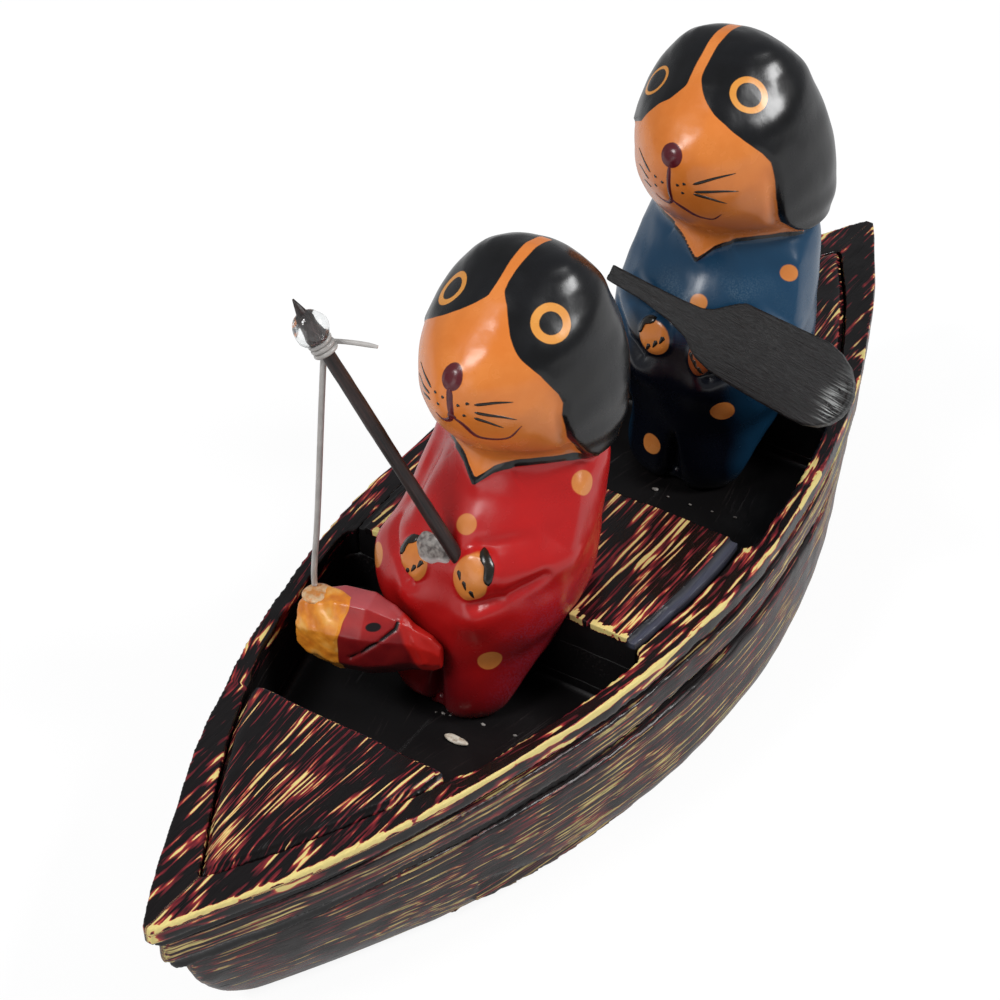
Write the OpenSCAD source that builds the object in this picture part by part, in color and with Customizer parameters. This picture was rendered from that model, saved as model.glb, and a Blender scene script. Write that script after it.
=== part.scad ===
// Carved and painted wooden boat with two seated dogs, one fishing and one holding a paddle.
// Millimetres, +Z up, bow towards -Y, +X to starboard, origin at the middle of the flat bottom.

/* [Boat] */
// Length of the boat from tip to tip along the gunwale
boat_length = 300; // [270:2:360]
// Beam of the boat across the gunwale
boat_beam = 93.4; // [86:0.2:112]
// Power of the curve that fills out the boat's plan outline
outline_fullness = 1.95; // [1.8:0.05:2.3]
// Radius of the blunted stem and stern tips
tip_radius = 2; // [1.2:0.1:3]

/* [Tiers] */
// Height of the carved lower hull
hull_height = 27; // [24:0.5:32]
// Height of the middle strake, with the groove under it
strake_height = 10; // [8:0.5:12]
// Height of the gunwale ring, with the groove under it
gunwale_height = 7; // [6:0.5:9]
// Height of the groove between the hull and the strake
lower_groove = 3.5; // [2:0.5:5]
// Height of the groove between the strake and the gunwale
upper_groove = 2.5; // [1.5:0.5:4]
// Depth of both grooves into the side
groove_depth = 2; // [1:0.5:3]
// How far the strake's tips stand back from the gunwale's
strake_setback = 3.5; // [2:0.5:5]
// How far the hull's tips stand back from the gunwale's
hull_setback = 9.5; // [7:0.5:12]
// How far the keel's ends stand back from the top of the hull
stem_rake = 18; // [12:1:24]
// How far the turn of the bilge comes in at the bottom
bilge_inset = 7; // [4:0.5:9]
// Height of the turn of the bilge
bilge_height = 11; // [8:0.5:14]

/* [Wells] */
// Depth of both wells into the lower hull, below its top
well_sink = 3; // [2:0.5:5]
// Place of the front well's forward end
front_well_start = -82.75; // [-88:0.25:-78]
// Length of the front well
front_well_length = 54.25; // [50:0.25:58]
// Length of the rear well
rear_well_length = 56.5; // [52:0.5:60]
// Width of the gunwale beside a well
well_rail = 4.2; // [3.4:0.1:5]
// Radius of the wells' upright corners
well_corner = 4; // [2:0.5:6]

/* [Decks] */
// Length of the thwart, fore and aft
thwart_length = 42; // [36:0.5:48]
// Thickness of the thwart
thwart_thickness = 9; // [8:0.5:11]
// Width of the gunwale beside the thwart
thwart_rail = 7.2; // [6:0.2:9]
// Thickness of both decks
deck_thickness = 8.5; // [7.5:0.5:10]
// Width of the gunwale beside the widest part of a deck
deck_rail = 5; // [4.5:0.5:7]
// Distance from the gunwale's tip to a deck's tip
deck_tip_gap = 17.6; // [14:0.2:22]
// Power of the curve of the decks' sides
deck_fullness = 2.15; // [2:0.05:2.4]
// Open seam round each deck and at the thwart's ends
seam = 0.5; // [0.3:0.1:0.8]
// Height of the eased top edge of the decks and the thwart
eased_edge = 1; // [0.5:0.5:1.5]

/* [Dogs] */
// Height of the front dog from the well's floor to its crown
front_dog_height = 105; // [96:1:116]
// Height of the rear dog from the well's floor to its crown
rear_dog_height = 110; // [98:1:118]
// Distance from a dog's feet to the edge that it sits on
feet_to_seat = 20; // [18:0.5:22]
// Diameter of the peg between each dog and its seat
peg_diameter = 6; // [5:0.5:8]
// Depth of each peg into the dog
peg_into_dog = 12; // [8:1:16]
// Depth of each peg into the seat
peg_into_seat = 6; // [4:0.5:7]

/* [Rod and line] */
// Diameter of the rod
rod_diameter = 3.1; // [2.6:0.1:4]
// Length of the rod outside the dog, without its point
rod_length = 64; // [56:1:72]
// Length of the rod's point
rod_point = 5; // [3:0.5:8]
// Depth of the rod's hole in the dog
rod_depth = 9; // [7:0.5:12]
// Angle between the rod and upright
rod_tilt = 27.5; // [22:0.5:34]
// Turn of the rod about upright, from starboard
rod_turn = -161; // [-170:1:-150]
// Diameter of the line
line_diameter = 1.4; // [1:0.1:1.8]
// Diameter of the drop of glue near the rod's tip
tip_drop_diameter = 8; // [6:0.5:10]

/* [Fish] */
// Length of the fish from mouth to tail
fish_length = 33; // [29:1:36]
// Height of the fish's body
fish_depth = 18; // [15:0.5:20]
// Thickness of the fish's body
fish_thickness = 15; // [12:0.5:16]

/* [Paddle] */
// Length of the paddle
paddle_length = 70; // [60:0.5:78]
// Width of the paddle's blade
blade_width = 20; // [17:0.5:24]
// Length of the paddle's blade
blade_length = 44; // [38:1:50]
// Width of the paddle's shaft near its top
shaft_width = 4.4; // [3.6:0.2:5.6]
// Thickness of the paddle
paddle_thickness = 3; // [2.5:0.1:4]

/* [Hidden] */

$fn = 48;
OUTLINE_STEPS = 40;     // points along each side of the boat's outline
WELL_STEPS = 20;        // points along each side of a well
RING_SIDES = 28;        // sides of the dogs' sections
CUT = 60;               // reach of a cutting block past what it cuts
EPS = 0.01;
PAST = 1;               // reach of a pocket's cut past the faces that it opens

strake_base = hull_height;
gunwale_base = strake_base + strake_height;
gunwale_top = gunwale_base + gunwale_height;
floor_z = hull_height - well_sink;
front_well_end = front_well_start + front_well_length;
thwart_end = front_well_end + thwart_length;
stern_deck_start = thwart_end + rear_well_length;
thwart_top = gunwale_base + thwart_thickness;
deck_top = gunwale_base + deck_thickness;
deck_tip = boat_length / 2 - deck_tip_gap;

// ---- Plan outline of the boat ----

// Half of the angle between the two sides at a tip
function tip_angle(half_len, half_beam) = atan(half_beam * outline_fullness / half_len);

// Half width at y of an outline with blunted tips
function half_width(y, half_len, half_beam) =
    let (a = tip_angle(half_len, half_beam),
         sharp = half_len + tip_radius * (1 / sin(a) - 1),
         from_tip = half_len - abs(y))
    from_tip < tip_radius * (1 - sin(a))
        ? sqrt(max(0, from_tip * (2 * tip_radius - from_tip)))
        : half_beam * (1 - pow(abs(y) / sharp, outline_fullness));

function gunwale_half(y) = half_width(y, boat_length / 2, boat_beam / 2);

// Fore-and-aft places, closer together towards both ends
function eased_steps(y0, y1, steps) =
    [for (i = [0:steps]) (y0 + y1) / 2 - (y1 - y0) / 2 * cos(180 * i / steps)];

// Mirrors a list of [half width, y] into a closed outline
function both_sides(side) =
    concat(side, [for (i = [len(side) - 1:-1:0]) if (side[i][0] > EPS) [-side[i][0], side[i][1]]]);

function boat_outline(half_len, half_beam) =
    both_sides([for (y = eased_steps(-half_len, half_len, OUTLINE_STEPS))
                [half_width(y, half_len, half_beam), y]]);

// How far a rounded corner comes in at a distance d from the end
function corner_inset(d, r) = d < r ? r - sqrt(r * r - (r - d) * (r - d)) : 0;

module plate(outline, z0, z1) {
    translate([0, 0, z0]) linear_extrude(z1 - z0) polygon(outline);
}

module boat_layer(setback, inset, z0, z1) {
    plate(boat_outline(boat_length / 2 - setback - inset, boat_beam / 2 - inset), z0, z1);
}

// Joins rings of equal point count into a closed solid
module skin(rings) {
    n = len(rings[0]);
    last = len(rings) - 1;
    sides = [for (k = [0:last - 1]) for (i = [0:n - 1])
             [k * n + i, k * n + (i + 1) % n, (k + 1) * n + (i + 1) % n, (k + 1) * n + i]];
    bottom = [for (i = [n - 1:-1:0]) i];
    top = [for (i = [0:n - 1]) last * n + i];
    polyhedron([for (ring = rings) each ring], concat([bottom], sides, [top]), convexity = 6);
}

// ---- Boat ----

// Upright well with rounded corners, cut up from the floor
module well(y0, y1, z0, z1) {
    side = [for (y = eased_steps(y0, y1, WELL_STEPS))
            [gunwale_half(y) - well_rail - corner_inset(min(y - y0, y1 - y), well_corner), y]];
    plate(both_sides(side), z0, z1);
}

module both_wells(z0, z1) {
    well(front_well_start, front_well_end, z0, z1);
    well(thwart_end, stern_deck_start, z0, z1);
}

// Heights of the hull's rings as shares of its height
HULL_LEVELS = [-0.04, 0, 0.04, 0.09, 0.18, 0.3, 0.45, 0.63, 0.82, 1];

// The block that the lower hull is carved from, with raked ends and a rounded bilge
module hull_block() {
    rings = [for (level = HULL_LEVELS)
        let (z = level * hull_height,
             low = max(0, 1 - z / bilge_height),
             half_beam = boat_beam / 2 - bilge_inset * (1 - sqrt(max(0, 1 - low * low))),
             half_len = boat_length / 2 - hull_setback - stem_rake * pow(1 - z / hull_height, 2))
        [for (p = boat_outline(half_len, half_beam)) [p[0], p[1], z]]];
    intersection() {
        skin(rings);
        translate([-boat_beam, -boat_length, 0]) cube([2 * boat_beam, 2 * boat_length, hull_height]);
    }
}

module lower_hull() {
    color("#1d1817") difference() {
        hull_block();
        both_wells(floor_z, hull_height + CUT);
    }
}

module middle_strake() {
    color("#2a211f") difference() {
        union() {
            boat_layer(strake_setback, groove_depth, strake_base, strake_base + lower_groove);
            boat_layer(strake_setback, 0, strake_base + lower_groove, gunwale_base);
        }
        both_wells(strake_base - CUT, gunwale_base + CUT);
        seat_peg_hole(front_peg_place(), thwart_top);
        seat_peg_hole(rear_peg_place(), deck_top);
    }
}

DECK_CORNER = 3;        // radius of the corners at a deck's square end

// Half width of the foredeck or the stern deck
function deck_half(y) = (boat_beam / 2 - deck_rail) * (1 - pow(abs(y) / deck_tip, deck_fullness));

// Side of a deck from its tip to its square end, drawn as for the bow
function deck_side(end, gap, corner) =
    let (tip = deck_tip + gap)
    [for (y = eased_steps(-tip, end, WELL_STEPS))
        [max(0, deck_half(min(-y, tip - gap)) + gap - corner_inset(end - y, corner)), y]];

module deck_board(end, inset, z0, z1) {
    plate(both_sides(deck_side(end - inset, -inset, DECK_CORNER)), z0, z1);
}

module eased_deck(end) {
    deck_board(end, 0, gunwale_base, deck_top - eased_edge);
    deck_board(end, eased_edge, deck_top - eased_edge, deck_top);
}

// Plan outline of the thwart, in from the gunwale by gap
function thwart_outline(gap, end_inset) =
    both_sides([for (y = eased_steps(front_well_end + end_inset, thwart_end - end_inset, WELL_STEPS))
                [gunwale_half(y) - gap, y]]);

module gunwale() {
    color("#2b2020") difference() {
        union() {
            boat_layer(0, groove_depth, gunwale_base, gunwale_base + upper_groove);
            boat_layer(0, 0, gunwale_base + upper_groove, gunwale_top);
        }
        both_wells(gunwale_base - CUT, gunwale_top + CUT);
        plate(thwart_outline(thwart_rail - seam, -PAST), gunwale_base - PAST, gunwale_top + PAST);
        plate(both_sides(deck_side(front_well_start + PAST, seam, 0)), gunwale_base - PAST, gunwale_top + PAST);
        mirror([0, 1, 0])
            plate(both_sides(deck_side(PAST - stern_deck_start, seam, 0)), gunwale_base - PAST, gunwale_top + PAST);
    }
}

module foredeck() {
    color("#30201f") eased_deck(front_well_start);
}

module stern_deck() {
    color("#30201f") difference() {
        mirror([0, 1, 0]) eased_deck(-stern_deck_start);
        seat_peg_hole(rear_peg_place(), deck_top);
    }
}

module thwart() {
    color("#38241f") difference() {
        union() {
            plate(thwart_outline(thwart_rail, 0), gunwale_base, thwart_top - eased_edge);
            plate(thwart_outline(thwart_rail + 2 * eased_edge, 0), thwart_top - eased_edge, thwart_top);
        }
        seat_peg_hole(front_peg_place(), thwart_top);
    }
}

// ---- Dogs ----
// Both are carved from one pattern, 106 mm tall, whose origin is between the feet on the floor.

PATTERN_HEIGHT = 106;
front_size = front_dog_height / PATTERN_HEIGHT;
rear_size = rear_dog_height / PATTERN_HEIGHT;

FRONT_LEAN = [0, 2.5, 2.4];     // small tilts and turn of each dog as it is glued in
REAR_LEAN = [4, -1, 4];

function front_feet() = [-1, front_well_end - feet_to_seat, floor_z];
function rear_feet() = [1, stern_deck_start - feet_to_seat, floor_z];

// Sections of the pattern: height, half width, front, back, narrowing towards the front
FIGURE = [[0, 13.4, -3.2, 9.5, 0], [5, 15.2, -3, 15, 0], [11, 16.8, -2.4, 29, 0],
          [15, 18.2, -2.2, 41, -0.04], [20, 20.4, -2, 46.5, -0.1], [27, 22.6, -1.4, 48.8, -0.15],
          [34, 23.4, 0, 49.5, -0.17], [42, 23.2, 2.2, 49.5, -0.12], [49, 22.2, 6.8, 49, -0.02],
          [55, 21, 12, 48, 0.08], [61, 20, 14.2, 47, 0.15],
          [65, 20.8, 13.6, 47.6, 0.2], [68, 22.2, 11.2, 49, 0.23], [72, 22.4, 8, 50.8, 0.25],
          [77, 21.9, 5.1, 52, 0.25], [83, 20.8, 3.6, 52.2, 0.25], [89, 19.7, 4.5, 51, 0.24],
          [94, 18.2, 8.8, 49, 0.23], [98, 15.8, 14.8, 47.4, 0.2], [101.5, 13.2, 20.2, 44.6, 0.16],
          [104, 10.2, 25.7, 41.4, 0.1], [105.5, 6.2, 30, 37.6, 0.04], [106, 2, 33, 35.5, 0]];

// Value of one column of the pattern at height z
function figure_at(column, z) = lookup(z, [for (row = FIGURE) [row[0], row[column]]]);

// Closed ring of the pattern at height z, an oval that narrows towards the front
function section(z) =
    let (half_x = figure_at(1, z), front = figure_at(2, z), back = figure_at(3, z), narrowing = figure_at(4, z))
    [for (i = [0:RING_SIDES - 1]) let (a = 360 * i / RING_SIDES)
        [half_x * cos(a) * (1 + narrowing * sin(a)), (front + back) / 2 + (back - front) / 2 * sin(a)]];

// The same ring of a dog in its place: pushed over by its lean, turned, and cut off flat at y = limit
function placed_ring(z, feet, lean, size, limit) =
    [for (p = size * section(z / size))
        let (x = p[0] + z * tan(lean[1]), y = p[1] - z * tan(lean[0]))
        [feet[0] + x * cos(lean[2]) - y * sin(lean[2]),
         min(limit, feet[1] + x * sin(lean[2]) + y * cos(lean[2])), feet[2] + z]];

NOTCH_HEIGHT = 15;      // height of the notch between the feet
NOTCH_WIDTH = 3;        // width of the notch at the floor
SEAT_RELIEF = 0.02;     // lift of the underside of a dog above its seat, towards its back
ROW_CLEARANCE = 1;      // least height between the seat and the pattern's next section

// A dog in its place, shaped to sit on the edge at seat_y and to stand on the well's floor
module seated_dog(feet, lean, size, seat_y, seat_z) {
    seat = seat_z - feet[2];
    rows = [for (row = FIGURE) row[0] * size];
    difference() {
        skin(concat(
            [for (z = rows) if (z < seat - ROW_CLEARANCE) placed_ring(z, feet, lean, size, seat_y)],
            [placed_ring(seat, feet, lean, size, seat_y)],
            [placed_ring(seat + SEAT_RELIEF, feet, lean, size, boat_length)],
            [for (z = rows) if (z > seat + ROW_CLEARANCE) placed_ring(z, feet, lean, size, boat_length)]));
        translate([feet[0], seat_y - feet_to_seat / 4, feet[2]]) rotate([90, 0, lean[2]])
            linear_extrude(CUT) polygon([[-NOTCH_WIDTH, -NOTCH_HEIGHT], [NOTCH_WIDTH, -NOTCH_HEIGHT], [0, NOTCH_HEIGHT]]);
    }
}

SEAT_TO_PEG = 14;       // distance from the seat's edge back to the peg

function front_peg_place() = [0, front_well_end + SEAT_TO_PEG];
function rear_peg_place() = [0, stern_deck_start + SEAT_TO_PEG];

module peg(place, seat_z) {
    translate([place[0], place[1], seat_z - peg_into_seat])
        cylinder(h = peg_into_seat + peg_into_dog, d = peg_diameter);
}

module seat_peg_hole(place, seat_z) {
    translate([place[0], place[1], seat_z - peg_into_seat]) cylinder(h = CUT, d = peg_diameter);
}

module dog_peg_hole(place, seat_z) {
    translate([place[0], place[1], seat_z - CUT]) cylinder(h = CUT + peg_into_dog, d = peg_diameter);
}

module front_dog() {
    color("#b3231f") difference() {
        seated_dog(front_feet(), FRONT_LEAN, front_size, front_well_end, thwart_top);
        dog_peg_hole(front_peg_place(), thwart_top);
        along_rod(-rod_depth) cylinder(h = CUT, d = rod_diameter);
    }
}

module rear_dog() {
    color("#1f4a6e") difference() {
        seated_dog(rear_feet(), REAR_LEAN, rear_size, stern_deck_start, deck_top);
        dog_peg_hole(rear_peg_place(), deck_top);
    }
}

module front_dog_peg() {
    color("#c9a878") peg(front_peg_place(), thwart_top);
}

module rear_dog_peg() {
    color("#c9a878") peg(rear_peg_place(), deck_top);
}

// ---- Rod, line and fish ----

ROD_BASE = [3.2, 3, 44];        // where the rod leaves the dog's front, on the pattern

function rod_base() = front_feet() + front_size * ROD_BASE;

// Places its children on the rod's axis, at a distance from where the rod leaves the dog
module along_rod(distance) {
    translate(rod_base()) rotate([0, rod_tilt, rod_turn]) translate([0, 0, distance]) children();
}

ROD_TIP = 0.6;          // diameter of the rod's blunt tip
DROP_PLACE = 61.5;      // distance of the drop's middle along the rod

module fishing_rod() {
    color("#201818") {
        along_rod(-rod_depth) cylinder(h = rod_depth + rod_length, d = rod_diameter);
        along_rod(rod_length) cylinder(h = rod_point, d1 = rod_diameter, d2 = ROD_TIP);
    }
}

module tip_glue_drop() {
    color("#d8dde0", 0.5) difference() {
        along_rod(DROP_PLACE) sphere(d = tip_drop_diameter);
        along_rod(0) cylinder(h = rod_length + EPS, d = rod_diameter);
        along_rod(rod_length) cylinder(h = rod_point, d1 = rod_diameter, d2 = ROD_TIP);
    }
}

LINE_WRAPS = 3;         // turns of line round the rod below the drop
WRAP_PITCH = 0.9;       // distance between turns in line diameters
LOOSE_END_LENGTH = 10.7;
LOOSE_END_PLACE = -107;         // where the loose end leaves the rod, round its axis
LOOSE_END_WAY = [0, 124.5, -70];        // direction of the loose end from there

// Turns of the line tied round the rod, with the short end left standing out of the middle one
module line_knot() {
    turn_radius = rod_diameter / 2 + line_diameter / 2;
    wraps_top = DROP_PLACE - sqrt(pow(tip_drop_diameter / 2, 2) - pow(rod_diameter / 2 + line_diameter, 2));
    color("#c8c4c0") {
        for (i = [0:LINE_WRAPS - 1])
            along_rod(wraps_top - line_diameter * (0.5 + WRAP_PITCH * i)) rotate_extrude()
                translate([turn_radius, 0]) circle(d = line_diameter, $fn = 16);
        along_rod(wraps_top - line_diameter * (0.5 + WRAP_PITCH)) rotate([0, 0, LOOSE_END_PLACE])
            translate([turn_radius, 0, 0]) rotate(LOOSE_END_WAY)
                cylinder(h = LOOSE_END_LENGTH, d = line_diameter, $fn = 16);
    }
}

// Route of the line's middle, from the rod down to the fish's mouth
LINE_ROUTE = [[-23.6, -52.9, 114.4], [-23.7, -53.4, 111], [-24, -54.2, 104], [-24.4, -55, 96], [-24.9, -55.8, 87],
              [-25.5, -56.5, 78], [-26.1, -57.3, 69], [-26.8, -58.1, 61], [-27.2, -58.2, 57], [-27.4, -58.1, 54]];
LINE_SIDES = 8;

function line_end() = LINE_ROUTE[len(LINE_ROUTE) - 1];

module fishing_line() {
    r = line_diameter / 2;
    color("#c8c4c0") skin([for (p = LINE_ROUTE)
        [for (i = [0:LINE_SIDES - 1]) let (a = 360 * i / LINE_SIDES)
            [p[0] + r * cos(a), p[1] + r * sin(a), p[2]]]]);
}

FISH_BELOW_LINE = [-1.6, -2.5, -9];      // middle of the fish's flat mouth from the line's lower end
GLUE_BELOW_LINE = [0.8, -0.5, -1.4];    // middle of the glue on the fish from the line's lower end
MOUTH_GLUE_DIAMETER = 5;
FISH_TURN = 15;                         // turn of the fish about upright, mouth towards port
// Sections of the fish as shares of its length, depth and thickness:
// distance from the mouth, half depth, half thickness, rise
FISH = [[0, 0.36, 0.34, 0], [0.07, 0.42, 0.42, 0], [0.28, 0.53, 0.5, 0.01], [0.5, 0.53, 0.48, 0.01],
        [0.64, 0.45, 0.36, -0.02], [0.78, 0.33, 0.18, -0.07], [0.92, 0.21, 0.1, -0.12], [1, 0.08, 0.06, -0.16]];

module fish() {
    color("#b02822") translate(line_end() + FISH_BELOW_LINE) rotate([0, 0, FISH_TURN]) skin([for (s = FISH)
        [for (a = [22.5:45:337.5])
            [s[0] * fish_length,
             s[2] * fish_thickness * cos(a) / cos(22.5),
             s[3] * fish_depth + s[1] * fish_depth * sin(a) / cos(22.5)]]]);
}

module mouth_glue() {
    color("#e8e0c8") translate(line_end() + GLUE_BELOW_LINE) sphere(d = MOUTH_GLUE_DIAMETER);
}

// ---- Small glue marks ----

PAW_GLUE_DIAMETER = 6;          // where it starts, on the rod
PAW_GLUE_END = 5;               // diameter where it ends, on the paw
PAW_GLUE_START = 1;             // distance of its start along the rod
PAW_GLUE_REACH = [-6, 0.3, -0.6];       // how far the glue has run from the rod over the paw
CHIP_PLACE = [6.4, -57.1];        // where the chip lies on the front well's floor
CHIP_LENGTH = 4.6;              // distance between the middles of the chip's two ends
CHIP_ENDS = [[2.4, 1.2], [2, 0.8]];     // diameter and height of each end

module paw_glue() {
    color("#d9d6d0") difference() {
        hull() {
            along_rod(PAW_GLUE_START) sphere(d = PAW_GLUE_DIAMETER, $fn = 20);
            translate(PAW_GLUE_REACH) along_rod(PAW_GLUE_START) sphere(d = PAW_GLUE_END, $fn = 20);
        }
        along_rod(-CUT / 2) cylinder(h = CUT, d = rod_diameter);
    }
}

module floor_glue_chip() {
    color("#c9b9a8") translate([CHIP_PLACE[0], CHIP_PLACE[1], floor_z]) hull() {
        cylinder(h = CHIP_ENDS[0][1], d = CHIP_ENDS[0][0], $fn = 16);
        translate([CHIP_LENGTH, 0, 0]) cylinder(h = CHIP_ENDS[1][1], d = CHIP_ENDS[1][0], $fn = 16);
    }
}

// ---- Paddle ----

PADDLE_LEAN = 45;       // lean of the paddle's face back from upright
PADDLE_DROP = 9;        // fall of the paddle towards its blade
SHAFT_AT_CHEST = 23.5;  // distance from the paddle's top to the middle of the chest
PADDLE_GLUE_DIAMETER = 8;
PADDLE_GLUE_PLACE = [-5, 0, -1];        // middle of the glue from the middle of the chest, along the paddle
CHEST = [2.6, -1, 48.2]; // where the paddle's middle plane passes in front of the chest, on the pattern

// Outline of the paddle: distance along the shaft or the blade, upper edge, lower edge.
// Distances are shares of the part's length, and edges are shares of half its width.
SHAFT = [[0, 0.9, 0.9], [0.42, 1.05, 0.95], [0.77, 1.25, 1.45]];
BLADE = [[0, 0.33, 0.48], [0.06, 0.44, 0.66], [0.11, 0.63, 0.77], [0.16, 0.81, 0.82], [0.21, 0.94, 0.87],
         [0.32, 0.97, 0.91], [0.5, 1.02, 0.92], [0.73, 1.08, 0.91], [0.82, 0.99, 0.88], [0.9, 0.81, 0.76],
         [0.96, 0.54, 0.54], [0.99, 0.3, 0.28], [1, 0.1, 0.08]];

module paddle_outline() {
    shaft_length = paddle_length - blade_length;
    rows = concat([for (r = SHAFT) [r[0] * shaft_length, r[1] * shaft_width / 2, r[2] * shaft_width / 2]],
                  [for (r = BLADE) [shaft_length + r[0] * blade_length, r[1] * blade_width / 2, r[2] * blade_width / 2]]);
    last = len(rows) - 1;
    polygon(concat([for (r = rows) [r[0], r[1]]], [for (i = [last:-1:0]) [rows[i][0], -rows[i][2]]]));
}

module place_paddle() {
    translate(rear_feet() + rear_size * CHEST) rotate([90 - PADDLE_LEAN, 0, 0]) rotate([0, 0, -PADDLE_DROP])
        translate([-SHAFT_AT_CHEST, 0, -paddle_thickness / 2]) children();
}

module paddle() {
    color("#2e2e30") place_paddle() linear_extrude(paddle_thickness) paddle_outline();
}

module paddle_glue() {
    color("#cfd2d2") difference() {
        place_paddle() translate([SHAFT_AT_CHEST, 0, 0] + PADDLE_GLUE_PLACE) sphere(d = PADDLE_GLUE_DIAMETER);
        paddle();
    }
}

lower_hull();
middle_strake();
gunwale();
foredeck();
thwart();
stern_deck();
front_dog();
rear_dog();
front_dog_peg();
rear_dog_peg();
fishing_rod();
tip_glue_drop();
line_knot();
fishing_line();
fish();
mouth_glue();
paw_glue();
paddle();
paddle_glue();
floor_glue_chip();
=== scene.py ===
import math

import bmesh
import bpy
import numpy as np
from mathutils import Matrix, Vector
from mathutils.bvhtree import BVHTree


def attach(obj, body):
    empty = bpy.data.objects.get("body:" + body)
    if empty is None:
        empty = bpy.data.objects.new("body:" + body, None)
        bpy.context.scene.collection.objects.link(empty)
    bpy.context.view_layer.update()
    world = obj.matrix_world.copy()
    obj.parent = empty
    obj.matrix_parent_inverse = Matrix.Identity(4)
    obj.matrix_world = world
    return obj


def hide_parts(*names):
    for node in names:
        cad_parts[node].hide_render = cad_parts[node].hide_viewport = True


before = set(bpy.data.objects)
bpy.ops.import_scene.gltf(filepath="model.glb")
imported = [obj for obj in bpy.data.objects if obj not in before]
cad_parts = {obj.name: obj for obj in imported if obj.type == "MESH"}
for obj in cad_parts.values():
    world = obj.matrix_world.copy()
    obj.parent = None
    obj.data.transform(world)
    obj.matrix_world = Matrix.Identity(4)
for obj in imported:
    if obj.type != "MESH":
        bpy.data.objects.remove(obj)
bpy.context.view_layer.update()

# ---- Camera, table and light ----
# The boat stands on a matt white table in a white room. A soft window is high on the right, a
# weaker lamp is on the left, and a faint one is low in front.
def linear(hex_colour):
    """An sRGB hex colour as the linear RGBA that sockets take."""
    parts = [int(hex_colour[i:i + 2], 16) / 255 for i in (0, 2, 4)]
    return tuple(p / 12.92 if p <= 0.04045 else ((p + 0.055) / 1.055) ** 2.4 for p in parts) + (1.0,)


def add(tree, kind, inputs=None, output=0, stops=None, **settings):
    """Adds one node with its settings and its values or links, and gives back one of its outputs."""
    made = tree.nodes.new("ShaderNode" + kind)
    for name, value in settings.items():
        setattr(made, name, value)
    for name, value in (inputs or {}).items():
        if isinstance(value, bpy.types.NodeSocket):
            tree.links.new(value, made.inputs[name])
        else:
            made.inputs[name].default_value = value
    for i, (place, value) in enumerate(stops or []):
        stop = made.color_ramp.elements[i] if i < 2 else made.color_ramp.elements.new(place)
        stop.position = place
        stop.color = value
    return made.outputs[output]


def new_material(name):
    """An empty material and its node tree, with the output node in place."""
    material = bpy.data.materials.new(name)
    material.use_nodes = True
    material.node_tree.nodes.clear()
    material.node_tree.nodes.new("ShaderNodeOutputMaterial")
    return material, material.node_tree


def surface(tree, shader):
    """Sends the shader to the material's output."""
    tree.links.new(shader, tree.nodes["Material Output"].inputs["Surface"])


def deselect():
    """Leaves nothing selected, as operators act on all that is."""
    for item in bpy.context.selected_objects:
        item.select_set(False)


TARGET = np.array([-19.5925, 2.3909, 40.0]) / 1000
DISTANCE = 0.62935
TURN, RISE, ROLL = (math.radians(v) for v in (35.6113, 38.9249, -2.0208))
towards = np.array([math.sin(TURN) * math.cos(RISE), -math.cos(TURN) * math.cos(RISE), math.sin(RISE)])
level_right = np.array([math.cos(TURN), math.sin(TURN), 0])
level_up = np.cross(towards, level_right)
camera_right = level_right * math.cos(ROLL) + level_up * math.sin(ROLL)
camera_up = level_up * math.cos(ROLL) - level_right * math.sin(ROLL)
camera_data = bpy.data.cameras.new("camera")
camera_data.lens = 95.499
camera_data.sensor_width = 36
camera = bpy.data.objects.new("camera", camera_data)
camera.matrix_world = Matrix.Translation(Vector(TARGET + towards * DISTANCE)) @ Matrix(
    [[camera_right[i], camera_up[i], towards[i]] for i in range(3)]).to_4x4()
bpy.context.scene.collection.objects.link(camera)
bpy.context.scene.camera = camera
bpy.context.scene.view_settings.view_transform = "Standard"

deselect()
bpy.ops.mesh.primitive_plane_add(size=6, location=(0, 0, -0.0002))
table = bpy.context.object
table.name = "table"
# White matt paint. It is lighter where it is seen straight or through glue, so that it reads as
# plain white, and darker in the light it throws on the boat.
table_paint, tree = new_material("white matt table")
rays = tree.nodes.new("ShaderNodeLightPath").outputs
seen_straight = add(tree, "Math", {0: rays["Is Camera Ray"], 1: rays["Is Transmission Ray"]},
                    operation="MAXIMUM")
in_gloss = add(tree, "Math", {0: rays["Is Glossy Ray"], 1: 0.22}, operation="MULTIPLY")
lightened = add(tree, "Math", {0: seen_straight, 1: 0.82, 2: in_gloss}, operation="MULTIPLY_ADD")
surface(tree, add(tree, "MixShader", {
    0: lightened,
    1: add(tree, "BsdfDiffuse", {"Color": linear("DCDCDC")}),
    2: add(tree, "Emission", {"Color": (1, 1, 1, 1), "Strength": 1.1})}))
table.data.materials.append(table_paint)

world = bpy.data.worlds.new("white room")
world.use_nodes = True
bpy.context.scene.world = world
tree = world.node_tree
tree.nodes.clear()
rays = tree.nodes.new("ShaderNodeLightPath").outputs
room = add(tree, "Background", {"Color": linear("F4F6FA"), "Strength": 0.3})
seen = add(tree, "Background", {"Color": (1, 1, 1, 1), "Strength": 1.0})
seen_straight = add(tree, "Math", {0: rays["Is Camera Ray"], 1: rays["Is Transmission Ray"]},
                    operation="MAXIMUM")
tree.links.new(add(tree, "MixShader", {0: seen_straight, 1: room, 2: seen}),
               tree.nodes.new("ShaderNodeOutputWorld").inputs["Surface"])


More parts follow.
